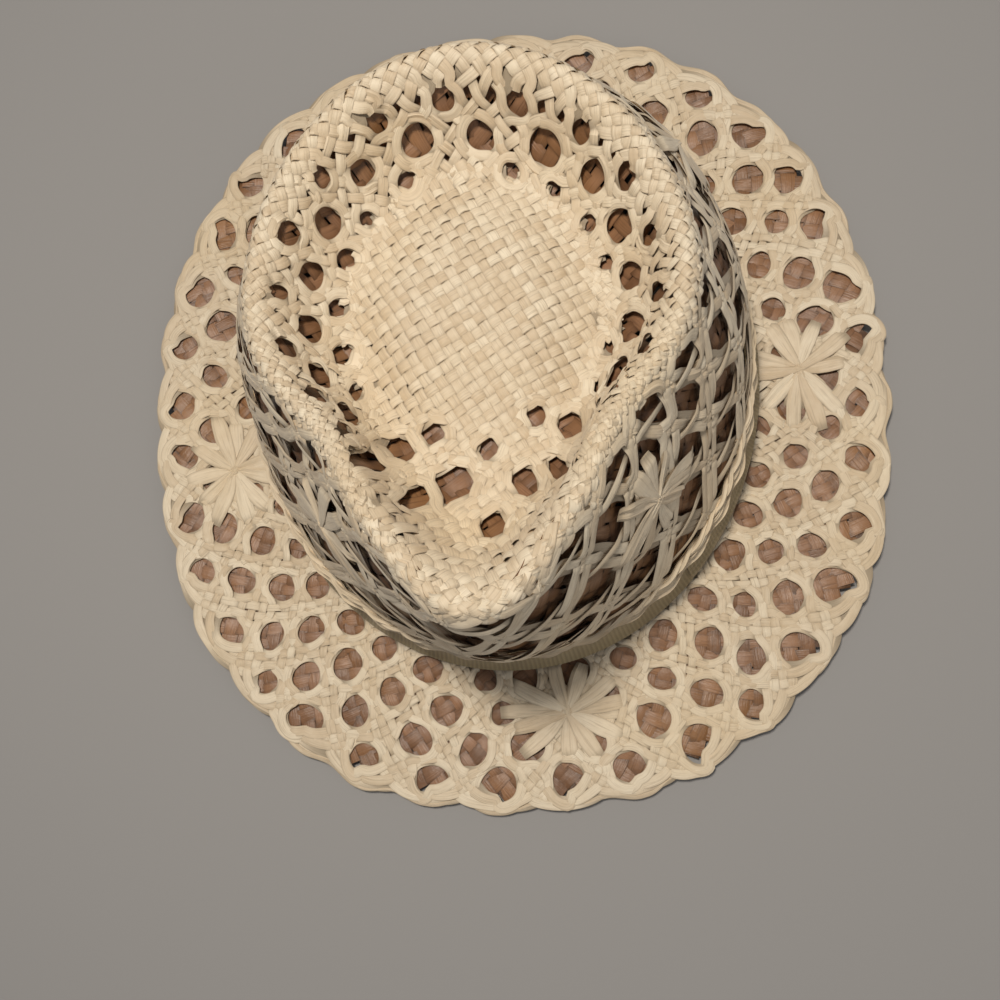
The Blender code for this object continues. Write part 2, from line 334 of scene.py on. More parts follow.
@dataclass(frozen=True)
class Opening:
    """A hole in a weave, round which straws are led."""

    centre: Array
    round_way: Array
    out_way: Array
    round_scale: float
    out_scale: float
    radius: float

    @classmethod
    def on(cls, surface: Surface, centre: Array, radius: float) -> Opening:
        """Return the opening at a map point.

        Args:
            surface: The surface that the weave lies on.
            centre: The opening's middle on the map.
            radius: Its radius in millimetres.

        Returns:
            The opening, with the map's scale round the hat and outwards.
        """
        ways = round_and_out(centre)
        scales = []
        for way in ways:
            ends = surface.place(np.array([centre - 0.5 * way, centre + 0.5 * way]))
            scales.append(float(np.linalg.norm(ends[1] - ends[0])))
        return cls(centre, *ways, *scales, radius)

    def shift(self, line: Array, width: float) -> Array:
        """Return how far a straw's map line moves aside to pass this opening.

        Args:
            line: The straw's middle line on the map.
            width: Its width in millimetres.

        Returns:
            The move of each point of the line.
        """
        if len(line) < 3:
            return np.zeros_like(line)
        gap = line - self.centre
        round_gap = gap @ self.round_way * self.round_scale
        out_gap = gap @ self.out_way * self.out_scale
        flat = np.stack([round_gap, out_gap], axis=1)
        nearest = int(np.argmin(np.sum(flat * flat, axis=1)))
        if nearest in (0, len(line) - 1) or np.linalg.norm(flat[nearest]) > self.radius + width:
            return np.zeros_like(line)
        ahead = flat[nearest + 1] - flat[nearest - 1]
        ahead /= np.linalg.norm(ahead) + 1e-9
        side = np.array([-ahead[1], ahead[0]])
        beside, along = flat @ side, flat @ ahead
        first = beside[nearest]
        way = 1.0 if first >= 0.0 else -1.0
        clear = self.radius + 0.5 * width + 0.22 * abs(first)
        want = np.sqrt(np.maximum(clear**2 - along**2, 0.0))
        close = (np.abs(along) < clear) & (np.linalg.norm(flat, axis=1) < 1.5 * clear)
        push = np.where(close, np.maximum(want - way * beside, 0.0), 0.0)
        move = way * push[:, None] * side
        return move[:, :1] / self.round_scale * self.round_way + move[:, 1:] / self.out_scale * self.out_way


def led_round(line: Array, openings: list[Opening], width: float, window: int) -> Array:
    """Return a straw's map line led round the openings that it would cross.

    Args:
        line: The straw's middle line on the map.
        openings: The weave's openings.
        width: The straw's width in millimetres.
        window: The number of points over which each bend is eased.

    Returns:
        The new line.
    """
    move = np.zeros_like(line)
    for opening in openings:
        move += opening.shift(line, width)
    if len(line) <= window or not move.any():
        return line
    kernel = np.hanning(window + 2)[1:-1]
    kernel /= kernel.sum()
    return line + np.stack([np.convolve(move[:, axis], kernel, mode="same") for axis in (0, 1)], axis=1)


@dataclass
class Section:
    """A straw's cross-section: points across it, from -1 to 1, and their height."""

    thick: float
    across: tuple[float, ...] = (-1.0, -0.62, -0.1, 0.5, 1.0, 0.7, -0.7)
    rise: tuple[float, ...] = (-0.1, 0.38, 0.5, 0.38, -0.1, -0.5, -0.5)
    top_points: int = 5
    crease: float = 0.32
    roll: float = 0.12


FLAT_STRAW = {"across": (-1.0, -0.4, 0.45, 1.0, 0.0), "rise": (-0.2, 0.5, 0.5, -0.2, -0.5), "top_points": 4}


@dataclass
class Strand:
    """One straw on a surface's map, with what it is at each of its points."""

    chart: Array
    lay: Array
    rank: Array
    width: Array
    lift: Array
    group: str
    dip: tuple[float, float] = (0.0, 0.0)
    wave: Array | None = None


@dataclass
class Weave:
    """Straws that are laid on one surface and pass over and under each other."""

    surface: Surface
    section: Section
    seed: int
    wave_height: float = 0.34
    out: float = 0.0
    step: float = 0.9
    wobble: float = 0.5
    strands: list[Strand] = field(default_factory=list)

    def __post_init__(self) -> None:
        """Draw the slow waves that make the weave uneven by hand."""
        self.random = np.random.default_rng(self.seed)
        self.waves = [
            (self.random.normal(0.0, 0.11, 2), self.random.uniform(0.0, 6.3), self.random.normal(0.0, 1.0, 2))
            for _ in range(14)
        ]

    def uneven(self, chart: Array) -> Array:
        """Return the map points moved a little by the slow waves."""
        moved = chart.copy()
        for pitch, phase, size in self.waves:
            moved += np.sin(chart @ pitch + phase)[:, None] * size * (self.wobble / 3.7)
        return moved

    def lay_strand(
        self,
        chart: Array,
        lay: Lay | Array,
        rank: int | Array,
        width: float | Array,
        group: str,
        lift: float | Array = 0.0,
        dip: tuple[float, float] = (0.0, 0.0),
    ) -> None:
        """Add a straw along these map points, with even steps on the surface.

        Args:
            chart: The straw's middle line on the map.
            lay: Its direction, for the whole straw or at each point.
            rank: Its number among its neighbours, for the whole straw or at each point.
            width: Its width in millimetres, for the whole straw or at each point.
            group: The piece that it belongs to.
            lift: Its distance outside the surface, beyond the weave's own.
            dip: How far its first and last end sink under their neighbours.
        """
        if len(chart) < 3:
            return
        chart = self.uneven(chart)
        points = self.surface.place(chart)
        length = np.concatenate([[0.0], np.cumsum(np.linalg.norm(np.diff(points, axis=0), axis=1))])
        if length[-1] < 3.0 * self.step:
            return
        count = max(4, int(round(length[-1] / self.step)) + 1)
        even = np.linspace(0.0, length[-1], count)
        position = np.interp(even, length, np.arange(len(chart)))
        nearest = np.clip(np.round(position).astype(int), 0, len(chart) - 1)

        def along(value: float | Array) -> Array:
            """Return a value at each even step."""
            whole = np.broadcast_to(np.asarray(value, float), (len(chart),))
            return np.interp(even, length, whole)

        lay_numbers = lay.value if isinstance(lay, Lay) else lay
        lays = np.broadcast_to(np.asarray(lay_numbers), (len(chart),))[nearest]
        ranks = np.broadcast_to(np.asarray(rank), (len(chart),))[nearest]
        line = np.stack([along(chart[:, 0]), along(chart[:, 1])], axis=1)
        self.strands.append(Strand(line, lays, ranks, along(width), along(lift), group, dip))

    def neighbours(self, key: Array, lays: Array) -> tuple[Array, Array]:
        """Return pairs of straw steps that lie in touching cells and have different lays.

        Args:
            key: The number of each step's cell, CELL_COLUMN times its column plus its row.
            lays: Each step's lay.

        Returns:
            The first and the second step of each pair.
        """
        order = np.argsort(key, kind="stable")
        sorted_key = key[order]
        firsts, seconds = [], []
        for dx in (-1, 0, 1):
            for dy in (-1, 0, 1):
                wanted = key + dx * CELL_COLUMN + dy
                low = np.searchsorted(sorted_key, wanted, "left")
                count = np.searchsorted(sorted_key, wanted, "right") - low
                first = np.repeat(np.arange(len(key)), count)
                offset = np.arange(count.sum()) - np.repeat(np.cumsum(count) - count, count)
                second = order[np.repeat(low, count) + offset]
                keep = lays[first] < lays[second]
                firsts.append(first[keep])
                seconds.append(second[keep])
        return np.concatenate(firsts), np.concatenate(seconds)

    def interlace(self) -> None:
        """Find where straws cross, and give each its way over and under."""
        starts = np.concatenate([s.chart[:-1] for s in self.strands])
        ends = np.concatenate([s.chart[1:] for s in self.strands])
        owner = np.concatenate([np.full(len(s.chart) - 1, n) for n, s in enumerate(self.strands)])
        local = np.concatenate([np.arange(len(s.chart) - 1) for s in self.strands])
        lays = np.concatenate([s.lay[:-1] for s in self.strands])
        ranks = np.concatenate([s.rank[:-1] for s in self.strands])
        cell = 1.01 * float(np.max(np.linalg.norm(ends - starts, axis=1)))
        grid = np.floor(0.5 * (starts + ends) / cell).astype(np.int64) + CELL_COLUMN // 2
        a, b = self.neighbours(grid[:, 0] * CELL_COLUMN + grid[:, 1], lays)
        run_a, run_b = ends[a] - starts[a], ends[b] - starts[b]
        gap = starts[b] - starts[a]
        cross = run_a[:, 0] * run_b[:, 1] - run_a[:, 1] * run_b[:, 0]
        safe = np.where(np.abs(cross) < 1e-9, 1.0, cross)
        t = (gap[:, 0] * run_b[:, 1] - gap[:, 1] * run_b[:, 0]) / safe
        u = (gap[:, 0] * run_a[:, 1] - gap[:, 1] * run_a[:, 0]) / safe
        hit = (np.abs(cross) > 1e-9) & (t >= 0) & (t < 1) & (u >= 0) & (u < 1)
        a, b, t, u = a[hit], b[hit], t[hit], u[hit]
        parity = np.where((ranks[a] + ranks[b]) % 2 == 0, 1.0, -1.0)
        ring = lays[b] == Lay.RING.value
        sign = np.where(ring, np.where(lays[a] == Lay.LEFT.value, -1.0, 1.0), parity)
        where = np.concatenate([local[a] + t, local[b] + u])
        signs = np.concatenate([sign, -sign])
        owners = np.concatenate([owner[a], owner[b]])
        for number, strand in enumerate(self.strands):
            mine = owners == number
            strand.wave = np.zeros(len(strand.chart))
            if mine.any():
                turn = np.argsort(where[mine])
                level = np.interp(np.arange(len(strand.chart)), where[mine][turn], signs[mine][turn])
                strand.wave = np.sin(0.5 * np.pi * level)

    def solid(self, name: str, group: str) -> bpy.types.Object:
        """Make one piece from the straws of a group.

        Args:
            name: The piece's name.
            group: The straws' group.

        Returns:
            The piece, a mesh of closed straws.
        """
        straws = [strand for strand in self.strands if strand.group == group]
        joined = np.concatenate([strand.chart for strand in straws])
        points, normals = self.surface.frame(joined)
        mesh = StrawMesh(self.section, self.random)
        start = 0
        for strand in straws:
            stop = start + len(strand.chart)
            level = self.out + strand.lift + self.wave_height * strand.wave
            here = slice(start, stop)
            mesh.add(points[here], normals[here], strand.width, level, strand.dip, wave=strand.wave)
            start = stop
        return mesh.build(name)


class StrawMesh:
    """Gathers straws as closed strips and turns them into one mesh."""

    def __init__(self, section: Section, random: np.random.Generator) -> None:
        """Start with no straws.

        Args:
            section: The straws' cross-section.
            random: Where their small differences come from.
        """
        self.section = section
        self.random = random
        self.points: list[Array] = []
        self.loops: list[Array] = []
        self.sizes: list[Array] = []
        self.marks: dict[str, list[Array]] = {"along": [], "across": [], "straw": [], "under": []}
        self.count = 0

    def add(
        self, line: Array, normals: Array, width: Array | float, level: Array | float,
        dip: tuple[float, float] = (0.0, 0.0), dip_length: float = 3.5, wave: Array | float = 0.0,
    ) -> None:
        """Add one straw.

        Args:
            line: Points on the surface that the straw follows.
            normals: The surface's unit normals there.
            width: The straw's width.
            level: Its distance outside the surface.
            dip: How far its first and last end sink.
            dip_length: The length over which they sink.
            wave: Where it passes over, 1, and under, -1, its neighbours.
        """
        section, random = self.section, self.random
        count, sides = len(line), len(section.across)
        tangent = np.gradient(line, axis=0)
        tangent /= np.linalg.norm(tangent, axis=1)[:, None] + 1e-12
        side = np.cross(tangent, normals)
        side /= np.linalg.norm(side, axis=1)[:, None] + 1e-12
        run = np.concatenate([[0.0], np.cumsum(np.linalg.norm(np.diff(line, axis=0), axis=1))])
        sink = dip[0] * (1.0 - smooth_step(0.0, dip_length, run))
        sink = sink + dip[1] * (1.0 - smooth_step(0.0, dip_length, run[-1] - run))
        phase = random.uniform(0.0, 6.3, 4)
        wide = width * (1.0 + 0.07 * np.sin(run / 4.3 + phase[0]) + random.normal(0.0, 0.03))
        drift = 0.14 * np.sin(run / 6.7 + phase[1]) + 0.08 * np.sin(run / 2.3 + phase[3])
        roll = section.roll * np.sin(run / 7.9 + phase[2])
        across = np.array(section.across)
        rise = np.tile(np.array(section.rise), (count, 1))
        for edge in range(1, section.top_points - 1):
            slow = np.sin(run / random.uniform(4.0, 11.0) + random.uniform(0.0, 6.3))
            rise[:, edge] += section.crease * (random.normal(0.0, 0.7) + 0.5 * slow)
        flat = across[None, :] * 0.5 * np.asarray(wide)[..., None] * np.ones((count, 1))
        high = rise * section.thick + flat * roll[:, None]
        high = high + (np.asarray(level) - sink + np.zeros(count))[:, None]
        centre = line + side * drift[:, None]
        ring = centre[:, None] + side[:, None] * flat[..., None] + normals[:, None] * high[..., None]
        self.points.append(ring.reshape(-1, 3))
        self.marks["along"].append(np.repeat(run, sides))
        self.marks["across"].append(np.tile(across, count))
        self.marks["straw"].append(np.full(count * sides, random.uniform(0.0, 1.0)))
        # Painted shade mask: 1 where the straw dives under its neighbours or sinks at its ends, where its
        # colour is darkened.
        under = np.clip(-np.asarray(wave) + sink, 0.0, 1.0) + np.zeros(count)
        self.marks["under"].append(np.repeat(under, sides))
        i, j = np.meshgrid(np.arange(count - 1), np.arange(sides), indexing="ij")
        here = self.count + i * sides + j
        beside = self.count + i * sides + (j + 1) % sides
        quads = np.stack([here, beside, beside + sides, here + sides], axis=-1).reshape(-1)
        first = self.count + np.arange(sides)[::-1]
        last = self.count + (count - 1) * sides + np.arange(sides)
        self.loops += [quads, first, last]
        self.sizes += [np.full((count - 1) * sides, 4), np.array([sides, sides])]
        self.count += count * sides

    def build(self, name: str, sharp: float = 34.0) -> bpy.types.Object:
        """Return the piece made of all the straws added.

        Args:
            name: The piece's name.
            sharp: The angle in degrees above which an edge stays sharp.
        """
        mesh = bpy.data.meshes.new(name)
        points = np.concatenate(self.points) * MM
        loops = np.concatenate(self.loops)
        sizes = np.concatenate(self.sizes)
        mesh.vertices.add(len(points))
        mesh.vertices.foreach_set("co", points.astype(np.float32).reshape(-1))
        mesh.loops.add(len(loops))
        mesh.loops.foreach_set("vertex_index", loops.astype(np.int32))
        mesh.polygons.add(len(sizes))
        starts = np.concatenate([[0], np.cumsum(sizes)[:-1]])
        mesh.polygons.foreach_set("loop_start", starts.astype(np.int32))
        mesh.update(calc_edges=True)
        mesh.validate()
        for mark, values in self.marks.items():
            layer = mesh.attributes.new(mark, "FLOAT", "POINT")
            layer.data.foreach_set("value", np.concatenate(values).astype(np.float32))
        mesh.shade_smooth()
        mesh.set_sharp_from_angle(angle=math.radians(sharp))
        obj = bpy.data.objects.new(name, mesh)
        bpy.context.scene.collection.objects.link(obj)
        return obj


def settle(piece: bpy.types.Object, material: bpy.types.Material, finish: Finish, *nodes: str) -> None:
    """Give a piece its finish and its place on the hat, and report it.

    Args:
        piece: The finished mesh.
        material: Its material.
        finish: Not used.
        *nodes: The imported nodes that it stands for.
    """
    piece.data.materials.clear()
    piece.data.materials.append(material)
    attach(piece, "root")
    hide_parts(*nodes)
    LOG.info("%s: %d faces", piece.name, len(piece.data.polygons))


# ---------------------------------------------------------------------------------------------
# Finishes
# ---------------------------------------------------------------------------------------------


class Nodes:
    """A small helper that adds nodes to a tree and joins them."""

    def __init__(self, tree: bpy.types.NodeTree) -> None:
        """Work on this tree."""
        self.tree = tree

    def add(self, kind: str, inputs: dict | None = None, **settings: object) -> bpy.types.Node:
        """Add a node.

        Args:
            kind: The node's type name.
            inputs: Values or sockets for its inputs, by name or number.
            **settings: Values for its properties.

        Returns:
            The node.
        """
        node = self.tree.nodes.new(kind)
        for key, value in settings.items():
            setattr(node, key, value)
        for key, value in (inputs or {}).items():
            if isinstance(value, bpy.types.NodeSocket):
                self.tree.links.new(value, node.inputs[key])
            else:
                node.inputs[key].default_value = value
        return node

    def sum(self, kind: str, first: object, second: object = 0.0) -> bpy.types.NodeSocket:
        """Return the result of a maths node on two values or sockets."""
        return self.add("ShaderNodeMath", {0: first, 1: second}, operation=kind).outputs[0]

    def mix(self, share: object, first: object, second: object) -> bpy.types.NodeSocket:
        """Return a mix of two colours."""
        node = self.add("ShaderNodeMix", {0: share, 6: first, 7: second}, data_type="RGBA")
        return node.outputs[2]

    def ramp(self, value: object, low: float, high: float) -> bpy.types.NodeSocket:
        """Return the share, 0 to 1, of a value between two limits."""
        inputs = {"Value": value, "From Min": low, "From Max": high}
        return self.add("ShaderNodeMapRange", inputs, clamp=True).outputs[0]


def straw_fibre_group() -> bpy.types.NodeTree:
    """Build the group that gives straw its fibres, creases, tone and slow colour changes, and the masks for
    its painted shade along its edges and where it dives under other straws.

    Returns:
        A node group with the outputs Fibre, Tone, Patch, Edge, Height and Under.
    """
    tree = bpy.data.node_groups.new("straw_fibre", "ShaderNodeTree")
    for name, default in (("Fibres", 5.0), ("Patch Scale", 22.0), ("Crease", 0.5)):
        tree.interface.new_socket(name, in_out="INPUT", socket_type="NodeSocketFloat").default_value = default
    for name in ("Fibre", "Tone", "Patch", "Edge", "Height", "Under"):
        tree.interface.new_socket(name, in_out="OUTPUT", socket_type="NodeSocketFloat")
    nodes = Nodes(tree)
    given = nodes.add("NodeGroupInput")
    along = nodes.add("ShaderNodeAttribute", attribute_name="along").outputs["Fac"]
    across = nodes.add("ShaderNodeAttribute", attribute_name="across").outputs["Fac"]
    straw = nodes.add("ShaderNodeAttribute", attribute_name="straw").outputs["Fac"]
    seed = nodes.sum("MULTIPLY", straw, 311.0)

    def streaks(stretch: float, spread: object, detail: float) -> bpy.types.NodeSocket:
        """Return a noise that is drawn out along the straw."""
        where = nodes.add(
            "ShaderNodeCombineXYZ",
            {0: nodes.sum("MULTIPLY", along, stretch), 1: nodes.sum("MULTIPLY", across, spread), 2: seed},
        )
        noise = nodes.add("ShaderNodeTexNoise", {"Vector": where.outputs[0], "Scale": 1.0, "Detail": detail})
        return noise.outputs["Fac"]

    fine = streaks(0.10, given.outputs["Fibres"], 3.0)
    broad = streaks(0.3, 0.9, 1.5)
    crinkle = streaks(0.9, 1.6, 2.0)
    where = nodes.add("ShaderNodeTexCoord").outputs["Object"]
    size = given.outputs["Patch Scale"]
    patch = nodes.add("ShaderNodeTexNoise", {"Vector": where, "Scale": size, "Detail": 2.0})
    tone = nodes.sum("ADD", nodes.sum("MULTIPLY", straw, 0.55), nodes.sum("MULTIPLY", broad, 0.45))
    # Painted shade mask: 1 at the straw's two edges, falling fast towards its middle.
    edge = nodes.sum("POWER", nodes.sum("ABSOLUTE", across), 9.0)
    height = nodes.sum("ADD", fine, nodes.sum("MULTIPLY", crinkle, given.outputs["Crease"]))
    # The painted shade mask of where the straw dives under other straws.
    under = nodes.add("ShaderNodeAttribute", attribute_name="under").outputs["Fac"]
    out = nodes.add("NodeGroupOutput")
    for name, socket in (
        ("Fibre", fine),
        ("Tone", tone),
        ("Patch", patch.outputs["Fac"]),
        ("Edge", edge),
        ("Height", height),
        ("Under", under),
    ):
        tree.links.new(socket, out.inputs[name])
    return tree


def new_material(name: str) -> tuple[bpy.types.Material, Nodes, bpy.types.Node]:
    """Return a new material, its node helper and its Principled shader."""
    material = bpy.data.materials.new(name)
    material.use_nodes = True
    shader = material.node_tree.nodes["Principled BSDF"]
    return material, Nodes(material.node_tree), shader


@dataclass(frozen=True)
class StrawFinish:
    """Dyed or bleached paper straw, with its fibres, tones and stains, and painted shade along its edges and
    where it dives under its neighbours.
    """

    name: str
    light: tuple[float, float, float]
    deep: tuple[float, float, float]
    stain: tuple[float, float, float]
    stain_share: float
    roughness: tuple[float, float]
    bump: float
    sheen: float
    fibres: float = 5.0
    # How dark the painted shade is where a straw dives under its neighbours, as a share of the deep colour.
    crevice: float = 0.45

    def build(self, fibre: bpy.types.NodeTree) -> bpy.types.Material:
        """Return the material.

        Args:
            fibre: The straw fibre node group.

        Returns:
            The straw's material.
        """
        material, nodes, shader = new_material(self.name)
        group = nodes.add("ShaderNodeGroup", node_tree=fibre)
        group.inputs["Fibres"].default_value = self.fibres
        tone = nodes.ramp(group.outputs["Tone"], 0.15, 0.85)
        colour = nodes.mix(tone, (*self.deep, 1.0), (*self.light, 1.0))
        patch = nodes.ramp(group.outputs["Patch"], 0.47, 0.68)
        colour = nodes.mix(nodes.sum("MULTIPLY", patch, self.stain_share), colour, (*self.stain, 1.0))
        streak = nodes.ramp(group.outputs["Fibre"], 0.30, 0.48)
        dark = tuple(0.62 * value for value in self.deep)
        share = nodes.sum("MULTIPLY", nodes.sum("SUBTRACT", 1.0, streak), 0.42)
        colour = nodes.mix(share, colour, (*dark, 1.0))
        glint = nodes.ramp(group.outputs["Fibre"], 0.60, 0.74)
        bright = tuple(min(1.0, 1.12 * value + 0.02) for value in self.light)
        colour = nodes.mix(nodes.sum("MULTIPLY", glint, 0.35), colour, (*bright, 1.0))
        # Painted shade darkens the straw along its two edges.
        colour = nodes.mix(nodes.sum("MULTIPLY", group.outputs["Edge"], 0.8), colour, (*dark, 1.0))
        # Painted shade: darker where the straw dives under its neighbours or sinks at its ends.
        shade = tuple(self.crevice * value for value in self.deep)
        colour = nodes.mix(nodes.sum("MULTIPLY", group.outputs["Under"], 0.8), colour, (*shade, 1.0))
        nodes.tree.links.new(colour, shader.inputs["Base Color"])
        low, high = self.roughness
        fibre_value = group.outputs["Fibre"]
        rough = nodes.add("ShaderNodeMapRange", {"Value": fibre_value, "To Min": high, "To Max": low})
        nodes.tree.links.new(rough.outputs[0], shader.inputs["Roughness"])
        raised = {"Height": group.outputs["Height"], "Strength": self.bump, "Distance": 0.4 * MM}
        bump = nodes.add("ShaderNodeBump", raised)
        nodes.tree.links.new(bump.outputs[0], shader.inputs["Normal"])
        shader.inputs["Sheen Weight"].default_value = self.sheen
        shader.inputs["Specular IOR Level"].default_value = 0.4
        return material


@dataclass(frozen=True)
class WovenCloth:
    """Ribbed ribbon or plain cloth, woven of fine threads."""

    name: str
    colour: tuple[float, float, float]
    shade: tuple[float, float, float]
    ribs: float
    threads: float
    roughness: float
    bump: float

    def build(self) -> bpy.types.Material:
        """Return the cloth's material."""
        material, nodes, shader = new_material(self.name)
        along = nodes.add("ShaderNodeAttribute", attribute_name="along").outputs["Fac"]
        across = nodes.add("ShaderNodeAttribute", attribute_name="across").outputs["Fac"]
        rib = nodes.sum("SINE", nodes.sum("MULTIPLY", along, self.ribs))
        thread = nodes.sum("SINE", nodes.sum("MULTIPLY", across, self.threads))
        where = nodes.add("ShaderNodeTexCoord").outputs["Object"]
        fade = nodes.add("ShaderNodeTexNoise", {"Vector": where, "Scale": 60.0, "Detail": 4.0})
        weave = nodes.sum("MULTIPLY", rib, thread)
        height = nodes.sum("ADD", nodes.sum("MULTIPLY", rib, 0.8), nodes.sum("MULTIPLY", weave, 0.5))
        # Painted shade in the grooves between the ribs and threads, mixed with a random fade of the cloth's
        # own tone; a lower share gives a darker colour.
        worn = nodes.sum("ADD", nodes.sum("MULTIPLY", height, 0.25), fade.outputs["Fac"])
        share = nodes.ramp(worn, 0.1, 0.9)
        colour = nodes.mix(share, (*self.shade, 1.0), (*self.colour, 1.0))
        nodes.tree.links.new(colour, shader.inputs["Base Color"])
        bump = nodes.add("ShaderNodeBump", {"Height": height, "Strength": self.bump, "Distance": 0.2 * MM})
        nodes.tree.links.new(bump.outputs[0], shader.inputs["Normal"])
        shader.inputs["Roughness"].default_value = self.roughness
        shader.inputs["Sheen Weight"].default_value = 0.25
        return material


# ---------------------------------------------------------------------------------------------
# Brim
# ---------------------------------------------------------------------------------------------


@dataclass
class OuterBrim:
    """The cream openwork brim: close slanted straws, led round rows of openings and looped at the edge."""

    form: HatForm
    height: float = 1.9
    columns: int = 36
    first_angle: float = 5.0
    outer_row: float = 7.6
    row_pitch: float = 12.0
    arch_top: float = 2.2
    straw_width: float = 3.5
    straws_each: int = 4
    straw_gap: float = 3.85
    opening_rows: int = 4
    opening_radius: float = 4.9
    bend_points: int = 13

    def __post_init__(self) -> None:
        """Set out the weave."""
        self.surface = BrimSurface(self.form, self.height)
        self.weave = Weave(self.surface, Section(thick=0.35), seed=11, wave_height=0.42, wobble=1.1)
        self.turn = 2.0 * math.pi / self.columns

    def chart(self, column: Array, inset: Array) -> Array:
        """Return the plan points of a column number and a distance inside the outline."""
        theta = math.radians(self.first_angle) + column * self.turn
        radius = self.form.brim_outline(theta) - inset
        return heading(theta) * radius[:, None]

    def openings(self) -> list[Opening]:
        """Return the brim's openings, in rows that are half a column apart."""
        random = np.random.default_rng(13)
        found = []
        for row in range(self.opening_rows):
            inset = self.outer_row + self.row_pitch * row + 0.4 * (row == 0)
            for number in range(self.columns):
                column = np.array([number + 0.5 * (row % 2) + random.normal(0.0, 0.045)])
                centre = self.chart(column, np.array([inset + random.normal(0.0, 0.5)]))[0]
                theta = math.atan2(centre[1], centre[0])
                distance = float(np.linalg.norm(centre))
                share = distance / float(self.form.brim_outline(theta))
                radius = self.opening_radius * share**0.8 * random.uniform(0.82, 1.12)
                if distance - float(self.form.brim_inside(theta)) > 0.4 * radius:
                    found.append(Opening.on(self.surface, centre, radius))
        return found

    def build(self) -> list[bpy.types.Object]:
        """Return the brim's weave."""
        openings = self.openings()
        for column in range(self.columns):
            reach = np.linspace(-2.4, 2.4, 420)
            away = np.abs(reach)
            arch = self.arch_top + (self.outer_row - self.arch_top) * (2.0 * away) ** 2
            straight = self.outer_row + 2.0 * self.row_pitch * (away - 0.5)
            middle = self.chart(column + reach, np.where(away < 0.5, arch, straight))
            theta = np.arctan2(middle[:, 1], middle[:, 0])
            keep = np.linalg.norm(middle, axis=1) > self.form.brim_inside(theta) - 0.6
            middle, reach, away, theta = middle[keep], reach[keep], away[keep], theta[keep]
            tangent = np.gradient(middle, axis=0)
            tangent /= np.linalg.norm(tangent, axis=1)[:, None]
            side = np.stack([tangent[:, 1], -tangent[:, 0]], axis=1)
            narrow = 1.0 - 0.72 * np.exp(-((away / 0.42) ** 2))
            squeeze = np.clip(np.linalg.norm(middle, axis=1) / self.form.brim_outline(theta), 0.6, 1.0)
            lay = np.where(reach < 0.0, Lay.LEFT.value, Lay.RIGHT.value)
            for member in range(self.straws_each):
                offset = self.straw_gap * (0.5 * (self.straws_each - 1) - member)
                chart = middle + side * (offset * narrow * squeeze)[:, None]
                half = int(np.searchsorted(reach, 0.0))
                legs = (chart[:half], chart[half:])
                led = [led_round(leg, openings, self.straw_width, self.bend_points) for leg in legs]
                self.weave.lay_strand(
                    np.concatenate(led), lay, self.straws_each * column + member, self.straw_width * squeeze,
                    "weave", lift=0.09 * member, dip=(0.7, 0.7),
                )
        self.weave.interlace()
        return [self.weave.solid("outer_brim_weave", "weave")]

    def dress(self, pieces: list[bpy.types.Object], straw: bpy.types.Material) -> None:
        """Finish the weave in cream straw."""
        for piece in pieces:
            settle(piece, straw, Finish.CREAM, "outer_brim")


def runs(keep: Array) -> list[tuple[int, int]]:
    """Return the start and stop of each unbroken run of true values."""
    edges = np.flatnonzero(np.diff(np.concatenate([[0], keep.astype(int), [0]])))
    return list(zip(edges[::2], edges[1::2]))


@dataclass
class BrimEdge:
    """The two thin straws that bind the brim's scalloped edge."""

    brim: OuterBrim
    outset: float = 0.7
    width: float = 1.8

    def build(self) -> bpy.types.Object:
        """Return the edge binding."""
        weave = Weave(self.brim.surface, Section(thick=0.7), seed=12, step=1.1)
        columns = self.brim.columns
        for number, (out, lift) in enumerate(((0.0, -0.45), (-0.7, -0.9))):
            column = np.linspace(0.5 * number, columns + 0.3 + 0.5 * number, 1800)
            near = np.abs((column + 0.5) % 1.0 - 0.5)
            inset = -self.outset - out + 2.6 * smooth_step(0.05, 0.5, near)
            chart = self.brim.chart(column, inset)
            weave.lay_strand(chart, Lay.RING, number, self.width, "edge", lift=lift, dip=(0.4, 0.4))
        weave.waves = self.brim.weave.waves
        weave.interlace()
        return weave.solid("brim_edge_straws", "edge")

    def dress(self, piece: bpy.types.Object, straw: bpy.types.Material) -> None:
        """Finish the binding in cream straw."""
        settle(piece, straw, Finish.CREAM, "brim_edge_braid")


def spiral(theta: float, turn: float, low: float, high: float, count: int = 260) -> tuple[Array, Array]:
    """Return radii and angles of a path that crosses a ring at an even slant.

    Args:
        theta: The angle where it starts, in radians.
        turn: The slant, as radians turned for each unit of log radius.
        low: Its smallest radius.
        high: Its largest radius.
        count: How many points it has.

    Returns:
        The radii and the angles.
    """
    radius = np.linspace(low, high, count)
    return radius, theta + turn * np.log(radius / low)


